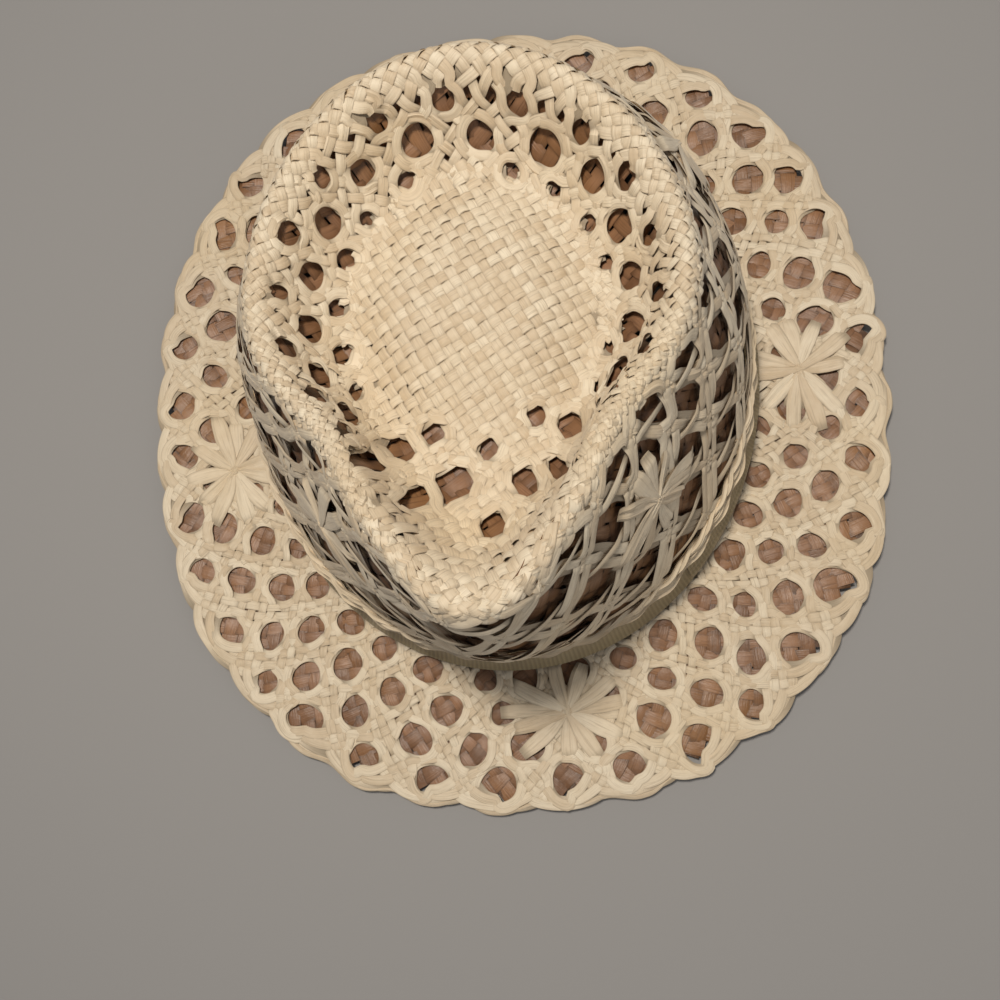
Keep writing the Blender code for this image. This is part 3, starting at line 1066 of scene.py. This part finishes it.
@dataclass
class BrimLining:
    """The brown straw sheet under the brim."""

    form: HatForm
    height: float = 0.62
    straws: int = 104
    edge_room: float = 3.6

    def build(self) -> bpy.types.Object:
        """Return the brim's lining."""
        section = Section(thick=0.3, **FLAT_STRAW)
        surface = BrimSurface(self.form, self.height)
        weave = Weave(surface, section, seed=21, wave_height=0.2, step=1.6, wobble=0.9)
        spacing = 2.0 * math.pi / self.straws
        for lay, turn in ((Lay.LEFT, 1.0), (Lay.RIGHT, -1.0)):
            for number in range(self.straws):
                radius, theta = spiral(number * spacing, turn, 84.0, 150.0)
                outline = self.form.brim_outline(theta) - self.edge_room
                keep = (radius < outline) & (radius > self.form.brim_inside(theta) - 0.6)
                chart = heading(theta) * radius[:, None]
                width = np.minimum(6.0, radius * spacing * 0.707 * 0.99)
                for start, stop in runs(keep):
                    weave.lay_strand(chart[start:stop], lay, number, width[start:stop], "lining")
        weave.interlace()
        return weave.solid("brim_lining_weave", "lining")

    def dress(self, piece: bpy.types.Object, straw: bpy.types.Material) -> None:
        """Finish the lining in brown straw."""
        settle(piece, straw, Finish.BROWN, "brim_lining")


# ---------------------------------------------------------------------------------------------
# Crown
# ---------------------------------------------------------------------------------------------


@dataclass
class OuterCrown:
    """The cream crown: plain weave in the dish, close slanted weave on the ridge, open walls."""

    form: HatForm
    columns: int = 20
    straws_each: int = 5
    wall_width: float = 3.5
    wall_gap: float = 2.9
    dish_width: float = 3.0
    dish_gap: float = 2.15
    plain_pitch: float = 3.25
    plain_angle: float = 27.0
    bend_points: int = 15
    plain_bend_points: int = 9
    rows: tuple[float, ...] = (1.75, 2.45, 3.2, 3.95, 6.7, 7.35, 8.05, 8.75, 10.15)
    left_turn: tuple[float, ...] = (4.0, 13.0, 22.0, 31.0, 48.0, 57.0, 66.0, 75.0, 88.0)
    right_turn: tuple[float, ...] = (22.0, 13.0, 4.0, -5.0, -24.0, -33.0, -42.0, -51.0, -64.0)
    ring_rows: tuple[float, ...] = (7.02, 7.7, 8.4, 9.12, 9.5)
    ring_width: float = 2.9
    rim_rows: tuple[tuple[float, float, float], ...] = ((2.45, 4.0, 2.7), (3.2, 13.0, 4.3), (3.95, 4.0, 2.8))
    wall_rows: tuple[tuple[float, float, float], ...] = (
        (6.7, 3.5, 3.6), (7.35, 12.3, 4.2), (8.05, 2.8, 4.4), (8.75, 11.5, 4.2)
    )

    def __post_init__(self) -> None:
        """Set out the weave and its openings."""
        self.surface = CrownSurface(self.form)
        section = Section(thick=0.4)
        self.weave = Weave(self.surface, section, seed=31, wave_height=0.45, step=0.95, wobble=0.8)
        self.pitch = 360.0 / self.columns
        random = np.random.default_rng(33)
        self.rim_openings = self.openings(self.rim_rows, random, 0.05, (0.8, 1.12))
        self.wall_openings = self.openings(self.wall_rows, random, 0.04, (0.85, 1.1))

    def openings(
        self, rings: tuple, random: np.random.Generator, wander: float, sizes: tuple[float, float]
    ) -> list[Opening]:
        """Return the openings of some rings round the crown, one to a column.

        Args:
            rings: Each ring's row, its first opening's degrees and its openings' radius.
            random: Where their small differences come from.
            wander: How far they stray from their row.
            sizes: The least and the greatest share of the radius.

        Returns:
            The openings, apart from those that would lie in the plain weave.
        """
        found = []
        for row, degrees, radius in rings:
            for number in range(self.columns):
                theta = np.radians(np.array([degrees + self.pitch * number + random.normal(0.0, 0.8)]))
                rows = self.row_shift(theta, np.array([row + random.normal(0.0, wander)]))
                if rows[0] > self.first_row(theta)[0] + 0.3:
                    centre = self.surface.chart(theta, rows)[0]
                    found.append(Opening.on(self.surface, centre, radius * random.uniform(*sizes)))
        return found

    def row_shift(self, theta: Array, row: Array) -> Array:
        """Return the real row of a row number: lower in the wall at the back, higher in the dish's rim."""
        away = front_angle(theta)
        in_wall = smooth_step(4.6, 5.8, row) * (1.0 - smooth_step(8.5, 9.8, row))
        lower = 0.4 * smooth_step(60.0, 120.0, away) * in_wall
        degrees = np.degrees(theta)
        middle = np.exp(-(((degrees - 84.0 + 180.0) % 360.0 - 180.0) / 24.0) ** 2)
        right = np.exp(-(((degrees - 4.0 + 180.0) % 360.0 - 180.0) / 26.0) ** 2)
        higher = 0.28 * (middle + right) * smooth_step(1.7, 2.6, row) * (1.0 - smooth_step(3.9, 4.6, row))
        return row + lower - higher

    def first_row(self, theta: Array) -> Array:
        """Return the row where the slanted straws start, under the edge of the plain weave."""
        return 1.95 + 2.35 * (1.0 - smooth_step(38.0, 58.0, front_angle(theta)))

    def spread(self, row: Array) -> Array:
        """Return how evenly the straws lie: 1 in the close weave, 0 where they run in bands."""
        return smooth_step(4.08, 4.5, row) * (1.0 - smooth_step(5.9, 6.35, row))

    def per_degree(self, theta: Array, row: Array) -> Array:
        """Return the millimetres round the crown for each degree."""
        step = math.radians(0.5)
        ahead = self.form.crown_point(theta + step, row)
        return np.linalg.norm(ahead - self.form.crown_point(theta - step, row), axis=1)

    def lay_slanted(self) -> None:
        """Lay the slanted straws of the dish's rim, the ridge and the wall."""
        row = np.linspace(self.rows[0], self.rows[-1], 620)
        for lay, turns in ((Lay.LEFT, self.left_turn), (Lay.RIGHT, self.right_turn)):
            path = smoothed(np.interp(row, self.rows, turns), 17)
            for column in range(self.columns):
                for member in range(self.straws_each):
                    self.lay_one(lay, row, path + self.pitch * column, column, member)

    def lay_one(self, lay: Lay, row: Array, degrees: Array, column: int, member: int) -> None:
        """Lay one slanted straw.

        Args:
            lay: Its direction.
            row: Row numbers along it.
            degrees: The angle of its band's middle at each row.
            column: The band's number.
            member: Its place in the band; the middle three go on in the open weave.
        """
        even = self.pitch / self.straws_each
        spread = self.spread(row)
        theta = np.radians(degrees)
        real = self.row_shift(theta, row)
        scale = self.per_degree(theta, real)
        inner = 1.0 - smooth_step(4.1, 4.6, row)
        width_open = self.wall_width + (self.dish_width - self.wall_width) * inner
        place = member - 0.5 * (self.straws_each - 1)
        gap = self.wall_gap + (self.dish_gap - self.wall_gap) * inner
        in_rim = np.clip(place, -1.15, 1.15) * self.pitch / 3.0
        in_wall = np.clip(place, -1.3, 1.3) * gap / scale
        in_open = in_rim * inner + in_wall * (1.0 - inner)
        offset = in_open * (1.0 - spread) + place * even * spread
        theta = np.radians(degrees + offset)
        main = abs(place) < 1.5
        keep = row >= self.first_row(theta)
        if not main:
            keep &= (row > 4.12) & (row < 6.28)
        close = np.minimum(even * scale * 0.74, 3.5)
        width = width_open * (1.0 - spread) + close * spread
        rank = np.where(spread > 0.5, self.straws_each * column + member, 3 * column + member - 1)
        lift = 0.0 if main else -0.22 * (1.0 - spread)
        group = lay.name.lower()
        real = self.row_shift(theta, row)
        foot = -0.9 * smooth_step(9.4, 10.0, row)
        for start, stop in runs(keep):
            part = slice(start, stop)
            chart = self.surface.chart(theta[part], real[part])
            openings = self.rim_openings + self.wall_openings
            chart = led_round(chart, openings, self.dish_width, self.bend_points)
            self.weave.lay_strand(
                chart, lay, rank[part], width[part], group, lift=(lift + foot)[part], dip=(0.9, 0.9)
            )

    def lay_rings(self) -> None:
        """Lay the single straws that run round the wall between its rows of openings."""
        for number, row in enumerate(self.ring_rows):
            theta = np.linspace(0.0, 2.0 * math.pi + 0.1, 1400) + 1.1 * number
            chart = self.surface.chart(theta, self.row_shift(theta, np.full_like(theta, row)))
            self.weave.lay_strand(chart, Lay.RING, number, self.ring_width, "rings", dip=(0.7, 0.7))

    def dish_openings(self) -> Array:
        """Return the openings of the front dish, as plan x, y and radius."""
        found = []
        middle = [(-126.0 + 25.0 * step, 2.3, 3.3) for step in range(4)]
        middle[1] = (-101.0, 2.05, 4.3)
        lower = [(-110.0 + 23.0 * step, 2.7, 2.9) for step in range(3)]
        upper = [(-115.0 + 26.0 * step, 1.62, 2.3) for step in range(3)]
        for degrees, row, radius in (*middle, *lower, *upper, (-129.0, 3.7, 3.4)):
            theta = np.array([math.radians(degrees)])
            x, y, _ = self.form.crown_point(theta, np.array([row]))[0]
            found.append((x, y, radius))
        return np.array(found)

    def lay_plain(self) -> None:
        """Lay the straight plain weave of the dish and of the front slope."""
        openings = self.dish_openings()
        centre = np.array([self.form.crown_x, self.form.crown_y + self.form.ridge_y])
        turns = {Lay.PLAIN_ACROSS: self.plain_angle, Lay.PLAIN_ALONG: self.plain_angle - 89.0}
        for lay, degrees in turns.items():
            angle = math.radians(degrees)
            ahead = np.array([math.cos(angle), math.sin(angle)])
            side = np.array([-ahead[1], ahead[0]])
            for number in range(-29, 30):
                run = np.linspace(-90.0, 90.0, 361)
                plan = centre + side * (number * self.plain_pitch) + run[:, None] * ahead
                plan = self.push_apart(plan, openings, side, number)
                chart = self.surface.chart_of_plan(plan)
                chart = led_round(chart, self.rim_openings, self.dish_width, self.plain_bend_points)
                theta = np.arctan2(chart[:, 1], chart[:, 0])
                row = np.hypot(chart[:, 0], chart[:, 1]) / self.surface.row_scale
                keep = row < self.first_row(theta) + 0.45
                here = self.surface.place(chart)
                near = np.linalg.norm(here[:, :2] - plan, axis=1) < 6.5
                beside = self.surface.place(self.surface.chart_of_plan(plan + 0.5 * side)) - here
                stretch = np.clip(2.0 * np.linalg.norm(beside, axis=1), 1.0, 1.6)
                width = self.plain_pitch * 0.985 * stretch
                for start, stop in runs(keep & near):
                    part = slice(start, stop)
                    self.weave.lay_strand(chart[part], lay, number, width[part], "plain", dip=(0.9, 0.9))

    def push_apart(self, plan: Array, openings: Array, side: Array, number: int) -> Array:
        """Return a straw's plan line, pushed sideways round each opening.

        Args:
            plan: The straw's points.
            openings: Plan x, y and radius of each opening.
            side: The direction across the straw.
            number: Not used.

        Returns:
            The moved points.
        """
        moved = plan.copy()
        for x, y, radius in openings:
            gap = plan - (x, y)
            beside = gap @ side
            ahead = np.sqrt(np.maximum(np.sum(gap * gap, axis=1) - beside**2, 0.0))
            way = np.where(beside[len(beside) // 2] >= 0.0, 1.0, -1.0)
            clear = radius + 0.5 * self.plain_pitch
            want = np.sqrt(beside**2 + clear**2 * np.exp(-((beside / (1.6 * clear)) ** 2)))
            push = (want - np.abs(beside)) * np.clip(1.75 - ahead / (0.8 * clear), 0.0, 1.0)
            moved += side * (way * push)[:, None]
        return moved

    def build(self) -> list[bpy.types.Object]:
        """Return the crown's four pieces."""
        self.lay_slanted()
        self.lay_rings()
        self.lay_plain()
        self.weave.interlace()
        return [
            self.weave.solid("outer_crown_left_lay", "left"),
            self.weave.solid("outer_crown_right_lay", "right"),
            self.weave.solid("outer_crown_rings", "rings"),
            self.weave.solid("outer_crown_dish", "plain"),
        ]

    def dress(self, pieces: list[bpy.types.Object], straw: bpy.types.Material) -> None:
        """Finish the pieces in cream straw."""
        for piece in pieces:
            settle(piece, straw, Finish.CREAM, "outer_crown")


def smoothed(values: Array, width: int) -> Array:
    """Return the values averaged over their neighbours, with the ends kept."""
    padded = np.concatenate([np.full(width, values[0]), values, np.full(width, values[-1])])
    padded[:width] += (np.arange(width) - width) * (values[1] - values[0])
    padded[-width:] += (np.arange(width) + 1) * (values[-1] - values[-2])
    kernel = np.ones(2 * (width // 2) + 1)
    return np.convolve(padded, kernel / kernel.sum(), mode="same")[width:-width]


@dataclass
class CrownLining:
    """The brown straw weave inside the crown."""

    form: HatForm
    out: float = -2.6
    wall_straws: int = 76
    dish_pitch: float = 4.7
    dish_angle: float = 34.0

    def build(self) -> list[bpy.types.Object]:
        """Return the lining's wall and top."""
        section = Section(thick=0.3, **FLAT_STRAW)
        surface = CrownSurface(self.form)
        weave = Weave(surface, section, seed=41, wave_height=0.22, step=1.6, out=self.out, wobble=0.8)
        spacing = 2.0 * math.pi / self.wall_straws
        row = np.linspace(4.1, 11.2, 300)
        for lay, way in ((Lay.LEFT, 1.0), (Lay.RIGHT, -1.0)):
            for number in range(self.wall_straws):
                theta = number * spacing + way * 0.175 * (row - 4.0) * (1.0 + 0.02 * (row - 4.0))
                step = 0.01
                ahead = self.form.crown_point(theta + step, row)
                behind = self.form.crown_point(theta - step, row)
                scale = np.linalg.norm(ahead - behind, axis=1) / (2.0 * step)
                width = np.minimum(6.2, 0.72 * spacing * scale)
                weave.lay_strand(surface.chart(theta, row), lay, number, width, "wall")
        centre = np.array([self.form.crown_x, 0.0])
        turns = {Lay.PLAIN_ACROSS: self.dish_angle, Lay.PLAIN_ALONG: self.dish_angle - 90.0}
        for lay, degrees in turns.items():
            angle = math.radians(degrees)
            ahead = np.array([math.cos(angle), math.sin(angle)])
            side = np.array([-ahead[1], ahead[0]])
            for number in range(-19, 20):
                run = np.linspace(-90.0, 90.0, 200)
                plan = centre + side * (number * self.dish_pitch) + run[:, None] * ahead
                chart = surface.chart_of_plan(plan)
                rows = np.hypot(chart[:, 0], chart[:, 1]) / surface.row_scale
                near = np.linalg.norm(surface.place(chart)[:, :2] - plan, axis=1) < 0.5
                width = self.dish_pitch * 0.97
                for start, stop in runs((rows < 4.45) & near):
                    weave.lay_strand(chart[start:stop], lay, number, width, "top", lift=-0.1)
        weave.interlace()
        return [weave.solid("crown_lining_wall", "wall"), weave.solid("crown_lining_top", "top")]

    def dress(self, pieces: list[bpy.types.Object], straw: bpy.types.Material) -> None:
        """Finish the pieces in brown straw."""
        for piece in pieces:
            settle(piece, straw, Finish.BROWN, "crown_lining")


# ---------------------------------------------------------------------------------------------
# Trim
# ---------------------------------------------------------------------------------------------


@dataclass
class TwinedRow:
    """One twined row at the crown's foot: two straws that turn round each other."""

    form: HatForm
    number: int
    height: float
    out: float = 0.3
    twist_length: float = 15.0
    radius: float = 0.62

    def build(self) -> bpy.types.Object:
        """Return the twined row."""
        surface = CrownSurface(self.form)
        random = np.random.default_rng(50 + self.number)
        section = Section(
            thick=1.15,
            across=(-1.0, -0.6, 0.1, 0.65, 1.0, 0.5, -0.5),
            rise=(-0.05, 0.42, 0.5, 0.38, -0.05, -0.5, -0.5),
        )
        mesh = StrawMesh(section, random)
        for strand in range(2):
            theta = np.linspace(0.0, 2.0 * math.pi + 0.06, 620) + 0.8 * self.number + 2.2 * strand
            base = surface.chart(theta, self.form.row_at_height(theta, self.height))
            points, _ = surface.frame(base)
            run = np.concatenate([[0.0], np.cumsum(np.linalg.norm(np.diff(points, axis=0), axis=1))])
            twist = 2.0 * math.pi * run / self.twist_length + math.pi * strand
            rows = self.form.row_at_height(theta, self.height + self.radius * np.sin(twist))
            points, normals = surface.frame(surface.chart(theta, rows))
            mesh.add(points, normals, 1.75, self.out + self.radius * np.cos(twist), dip=(0.6, 0.6))
        return mesh.build(f"base_twine_row_{self.number}")

    def dress(self, piece: bpy.types.Object, straw: bpy.types.Material) -> None:
        """Finish the row in cream straw."""
        settle(piece, straw, Finish.CREAM, f"base_twine_{self.number}")


def band_mesh(
    name: str, rings: list[Array], outward: list[Array], thick: float, lengths: Array, heights: list[float],
    closed: bool = True,
) -> bpy.types.Object:
    """Return a thin closed band from rows of points round the hat.

    Args:
        name: The piece's name.
        rings: Rows of points, from the top row to the foot.
        outward: The unit normals of each row.
        thick: The cloth's thickness.
        lengths: The distance round the band at each column.
        heights: The distance across the band at each row.
        closed: Whether the band closes on itself.

    Returns:
        The band.
    """
    rows, columns = len(rings), len(rings[0])
    outer = np.array(rings) + 0.5 * thick * np.array(outward)
    inner = np.array(rings) - 0.5 * thick * np.array(outward)
    points = np.concatenate([outer.reshape(-1, 3), inner.reshape(-1, 3)]) * MM
    faces = []
    side = rows * columns
    last = columns if closed else columns - 1
    for row in range(rows - 1):
        for column in range(last):
            a = row * columns + column
            b = row * columns + (column + 1) % columns
            faces.append((a, a + columns, b + columns, b))
            faces.append((side + a, side + b, side + b + columns, side + a + columns))
    for column in range(last):
        beside = (column + 1) % columns
        faces.append((column, beside, side + beside, side + column))
        foot = (rows - 1) * columns
        faces.append((foot + column, side + foot + column, side + foot + beside, foot + beside))
    if not closed:
        for row in range(rows - 1):
            a, b = row * columns, (row + 1) * columns
            faces.append((a, side + a, side + b, b))
            a, b = a + columns - 1, b + columns - 1
            faces.append((a, b, side + b, side + a))
    mesh = bpy.data.meshes.new(name)
    mesh.from_pydata([tuple(point) for point in points], [], faces)
    mesh.validate()
    for mark, values in (("along", np.tile(lengths, rows)), ("across", np.repeat(heights, columns))):
        layer = mesh.attributes.new(mark, "FLOAT", "POINT")
        layer.data.foreach_set("value", np.tile(values, 2).astype(np.float32))
    mesh.shade_smooth()
    mesh.set_sharp_from_angle(angle=math.radians(60.0))
    obj = bpy.data.objects.new(name, mesh)
    bpy.context.scene.collection.objects.link(obj)
    return obj


@dataclass
class WallBand:
    """A band of cloth that lies round the foot of the crown's wall."""

    form: HatForm
    name: str
    node: str
    out: float
    thick: float
    top: float
    foot: float
    finish: Finish
    ripple: float = 0.0
    flare: float = 0.0
    start: float = 0.0
    end: float = 360.0
    rows: int = 11
    columns: int = 360
    pleats: int = 0

    def build(self) -> bpy.types.Object:
        """Return the band."""
        surface = CrownSurface(self.form)
        closed = self.end - self.start >= 360.0
        theta = np.radians(np.linspace(self.start, self.end, self.columns, endpoint=not closed))
        heights = [float(value) for value in np.linspace(self.top, self.foot, self.rows)]
        rings, outward = [], []
        for number, height in enumerate(heights):
            points, normals = surface.frame(surface.chart(theta, self.form.row_at_height(theta, height)))
            share = number / (self.rows - 1)
            ripple = self.ripple * np.sin(9.0 * theta + 2.0 * share) * np.sin(math.pi * share)
            fold = 0.45 * abs(math.sin(math.pi * self.pleats * share)) if self.pleats else 0.0
            rings.append(points + normals * (self.out + ripple + fold + self.flare * share**1.5)[:, None])
            outward.append(normals)
        middle = rings[self.rows // 2]
        lengths = np.concatenate([[0.0], np.cumsum(np.linalg.norm(np.diff(middle, axis=0), axis=1))])
        piece = band_mesh(self.name, rings, outward, self.thick, lengths, heights, closed)
        self.length = float(lengths[-1] + (np.linalg.norm(middle[0] - middle[-1]) if closed else 0.0))
        down = [rings[n + 1] - rings[n] for n in range(self.rows - 1)]
        self.width = float(np.mean(np.sum([np.linalg.norm(step, axis=1) for step in down], axis=0)))
        return piece

    def dress(self, piece: bpy.types.Object, cloth: bpy.types.Material) -> None:
        settle(piece, cloth, self.finish, self.node)


@dataclass
class StarMotif:
    """A star of folded straws, gathered in the middle, with a short star beneath it."""

    name: str
    node: str
    surface: Surface
    centre: Array
    radius: float
    out: float
    seed: int
    stretch: float = 1.0
    spokes: int = 11
    under_spokes: int = 9

    def build(self) -> bpy.types.Object:
        """Return the star."""
        random = np.random.default_rng(self.seed)
        section = Section(
            thick=0.5,
            across=(-1.0, -0.55, -0.05, 0.5, 1.0, 0.5, -0.5),
            rise=(-0.3, 0.55, 0.1, 0.55, -0.3, -0.5, -0.5),
            crease=0.35,
        )
        mesh = StrawMesh(section, random)
        ends = [self.surface.place(self.centre + share * np.eye(2)) for share in (-0.5, 0.5)]
        round_way, out_way = round_and_out(self.centre)
        long_way = np.linalg.norm(round_way @ (ends[1] - ends[0]))
        wide_way = np.linalg.norm(out_way @ (ends[1] - ends[0]))

        def spoke(angle: float, start: float, stop: float, widths: tuple, levels: tuple) -> None:
            """Add one straw from the star's middle to its end."""
            share = np.linspace(0.0, 1.0, 26)
            reach = start + (stop - start) * share
            bend = angle + 0.10 * math.sin(3.1 * angle) * share
            along = reach * np.cos(bend) * self.stretch / long_way
            over = reach * np.sin(bend) / wide_way
            chart = self.centre + along[:, None] * round_way + over[:, None] * out_way
            points, normals = self.surface.frame(chart)
            width = np.interp(share, np.linspace(0, 1, len(widths)), widths)
            level = self.out + np.interp(share, np.linspace(0, 1, len(levels)), levels)
            mesh.add(points, normals, width, level, dip=(0.0, 0.9))

        for number in range(self.under_spokes):
            angle = 2.0 * math.pi * (number + 0.3) / self.under_spokes
            levels = (-0.5, -0.45 + 0.05 * (number % 3), -0.5, -0.8)
            spoke(angle, 0.5, 0.62 * self.radius, (2.0, 4.6, 5.0, 4.2), levels)
        for number in range(self.spokes):
            angle = 2.0 * math.pi * (number + random.uniform(-0.22, 0.22)) / self.spokes
            reach = self.radius * random.uniform(0.82, 1.08)
            layer = 0.12 * (number % 3)
            levels = (0.55 + 2.0 * layer, 0.55 + layer, 0.25 + layer, 0.15 + layer, 0.1, -0.35)
            spoke(angle, -1.2, reach, (1.8, 3.2, 4.8, 5.6, 5.4, 4.2), levels)
        return mesh.build(self.name)

    def dress(self, piece: bpy.types.Object, straw: bpy.types.Material) -> None:
        """Finish the star in cream straw."""
        settle(piece, straw, Finish.CREAM, self.node)


def build_stars(form: HatForm) -> list[StarMotif]:
    """Return the four stars of the crown and the four of the brim.

    Args:
        form: The hat's sizes.

    Returns:
        The eight motifs.
    """
    crown = CrownSurface(form)
    brim = BrimSurface(form, 2.0)
    on_crown = {"front_right": -48.5, "front_left": -131.5, "back_right": 41.5, "back_left": 138.5}
    on_brim = {"front": -83.0, "right": 2.0, "back": 97.0, "left": -171.0}
    stars = []
    seed = 70
    for place, degrees in on_crown.items():
        centre = crown.chart(np.array([math.radians(degrees)]), np.array([7.9]))[0]
        seed += 1
        name = f"crown_star_{place}"
        stars.append(StarMotif(f"{name}_straws", name, crown, centre, 21.5, 0.9, seed))
    for place, degrees in on_brim.items():
        theta = math.radians(degrees)
        inside, outside = float(form.brim_inside(theta)), float(form.brim_outline(theta)) - 3.4
        radius = inside + 0.4 * (outside - inside)
        centre = np.array([math.cos(theta), math.sin(theta)]) * radius
        seed += 1
        name = f"brim_star_{place}"
        stars.append(StarMotif(f"{name}_straws", name, brim, centre, 18.0, 0.8, seed, stretch=1.25))
    return stars


# ---------------------------------------------------------------------------------------------
# Studio
# ---------------------------------------------------------------------------------------------


@dataclass(frozen=True)
class Studio:
    """A plain grey floor, two soft lights and the camera above the front of the hat."""

    eye: tuple[float, float, float] = (0.0308, -0.08985, 0.3504)
    ahead: tuple[float, float, float] = (-0.1024, 0.1557, -0.9825)
    above: tuple[float, float, float] = (0.0758, 0.9860, 0.1484)
    lens: float = 35.7

    def camera(self) -> None:
        """Create the camera."""
        data = bpy.data.cameras.new("camera")
        data.lens = self.lens
        data.clip_start = 0.01
        camera = bpy.data.objects.new("camera", data)
        back = -Vector(self.ahead).normalized()
        right = Vector(self.above).cross(back).normalized()
        up = back.cross(right)
        turn = Matrix((right, up, back)).transposed().to_4x4()
        camera.matrix_world = Matrix.Translation(self.eye) @ turn
        bpy.context.scene.collection.objects.link(camera)
        bpy.context.scene.camera = camera

    def light(self, name: str, place: tuple, aim: tuple, size: float, power: float, colour: tuple) -> None:
        """Add one soft light.

        Args:
            name: The light's name.
            place: Where it hangs.
            aim: The point it faces.
            size: Its width.
            power: Its power in watts.
            colour: Its colour.
        """
        data = bpy.data.lights.new(name, "AREA")
        data.size, data.energy, data.color = size, power, colour
        lamp = bpy.data.objects.new(name, data)
        lamp.location = place
        lamp.rotation_mode = "QUATERNION"
        lamp.rotation_quaternion = (Vector(aim) - Vector(place)).to_track_quat("-Z", "Y")
        bpy.context.scene.collection.objects.link(lamp)

    def floor(self) -> None:
        """Lay the floor."""
        mesh = bpy.data.meshes.new("floor")
        half = 3.0
        corners = [(-half, -half, 0), (half, -half, 0), (half, half, 0), (-half, half, 0)]
        mesh.from_pydata(corners, [], [(0, 1, 2, 3)])
        floor = bpy.data.objects.new("floor", mesh)
        floor.location.z = -0.0005
        material, _, shader = new_material("floor_paint")
        shader.inputs["Base Color"].default_value = (0.34, 0.33, 0.32, 1.0)
        shader.inputs["Roughness"].default_value = 0.9
        mesh.materials.append(material)
        bpy.context.scene.collection.objects.link(floor)

    def build(self) -> None:
        """Set up the floor, the lights and the camera."""
        self.camera()
        self.floor()
        self.light("key", (-0.06, 0.10, 0.80), (0.0, 0.0, 0.05), 0.12, 4.6, (1.0, 0.93, 0.84))
        self.light("fill", (0.65, -0.75, 0.5), (0.0, 0.0, 0.05), 1.0, 1.9, (1.0, 0.95, 0.88))
        world = bpy.data.worlds.new("room")
        world.use_nodes = True
        background = world.node_tree.nodes["Background"]
        background.inputs["Color"].default_value = (0.9, 0.93, 1.0, 1.0)
        background.inputs["Strength"].default_value = 0.16
        bpy.context.scene.world = world
        bpy.context.scene.view_settings.view_transform = "Standard"


def main() -> None:
    """Build the studio and every piece of the hat."""
    logging.basicConfig(level=logging.INFO, format="%(message)s")
    Studio().build()
    form = HatForm()
    fibre = straw_fibre_group()
    cream = StrawFinish(
        "cream_straw_fibre", light=(0.86, 0.75, 0.57), deep=(0.66, 0.52, 0.35), stain=(0.76, 0.60, 0.38),
        stain_share=0.4, roughness=(0.45, 0.68), bump=0.5, sheen=0.1,
    ).build(fibre)
    brown = StrawFinish(
        "brown_straw_fibre", light=(0.36, 0.19, 0.10), deep=(0.17, 0.08, 0.035), stain=(0.42, 0.20, 0.06),
        stain_share=0.4, roughness=(0.28, 0.5), bump=0.4, sheen=0.05, fibres=7.0,
    ).build(fibre)
    ribbon = WovenCloth(
        "khaki_ribbon_ribs", colour=(0.42, 0.33, 0.18), shade=(0.27, 0.20, 0.10), ribs=4.2, threads=9.0,
        roughness=0.75, bump=0.5,
    ).build()
    cloth = WovenCloth(
        "sweatband_weave", colour=(0.62, 0.52, 0.38), shade=(0.50, 0.40, 0.27), ribs=7.0, threads=7.0,
        roughness=0.85, bump=0.4,
    ).build()

    brim = OuterBrim(form)
    brim.dress(brim.build(), cream)
    edge = BrimEdge(brim)
    edge.dress(edge.build(), cream)
    brim_lining = BrimLining(form)
    brim_lining.dress(brim_lining.build(), brown)
    crown_lining = CrownLining(form)
    crown_lining.dress(crown_lining.build(), brown)
    crown = OuterCrown(form)
    crown.dress(crown.build(), cream)
    for number, height in enumerate((28.4, 25.6, 22.8), start=1):
        row = TwinedRow(form, number, height)
        row.dress(row.build(), cream)
    bands = (
        WallBand(
            form, "hat_band_ribbon", "hat_band", out=-1.6, thick=0.5, top=26.0, foot=4.0,
            finish=Finish.RIBBON, ripple=0.15, flare=3.6,
        ),
        WallBand(
            form, "hat_band_lap_fold", "hat_band_lap", out=-0.1, thick=0.4, top=20.5, foot=6.5,
            finish=Finish.RIBBON, flare=2.7, start=-52.0, end=-26.0, rows=29, columns=60, pleats=4,
        ),
        WallBand(
            form, "sweatband_cloth_band", "sweatband", out=-3.8, thick=0.6, top=30.0, foot=4.0,
            finish=Finish.CLOTH,
        ),
    )
    for band, material in zip(bands, (ribbon, ribbon, cloth)):
        band.dress(band.build(), material)
    for star in build_stars(form):
        star.dress(star.build(), cream)

    bpy.context.view_layer.update()


if __name__ == "__main__":
    main()
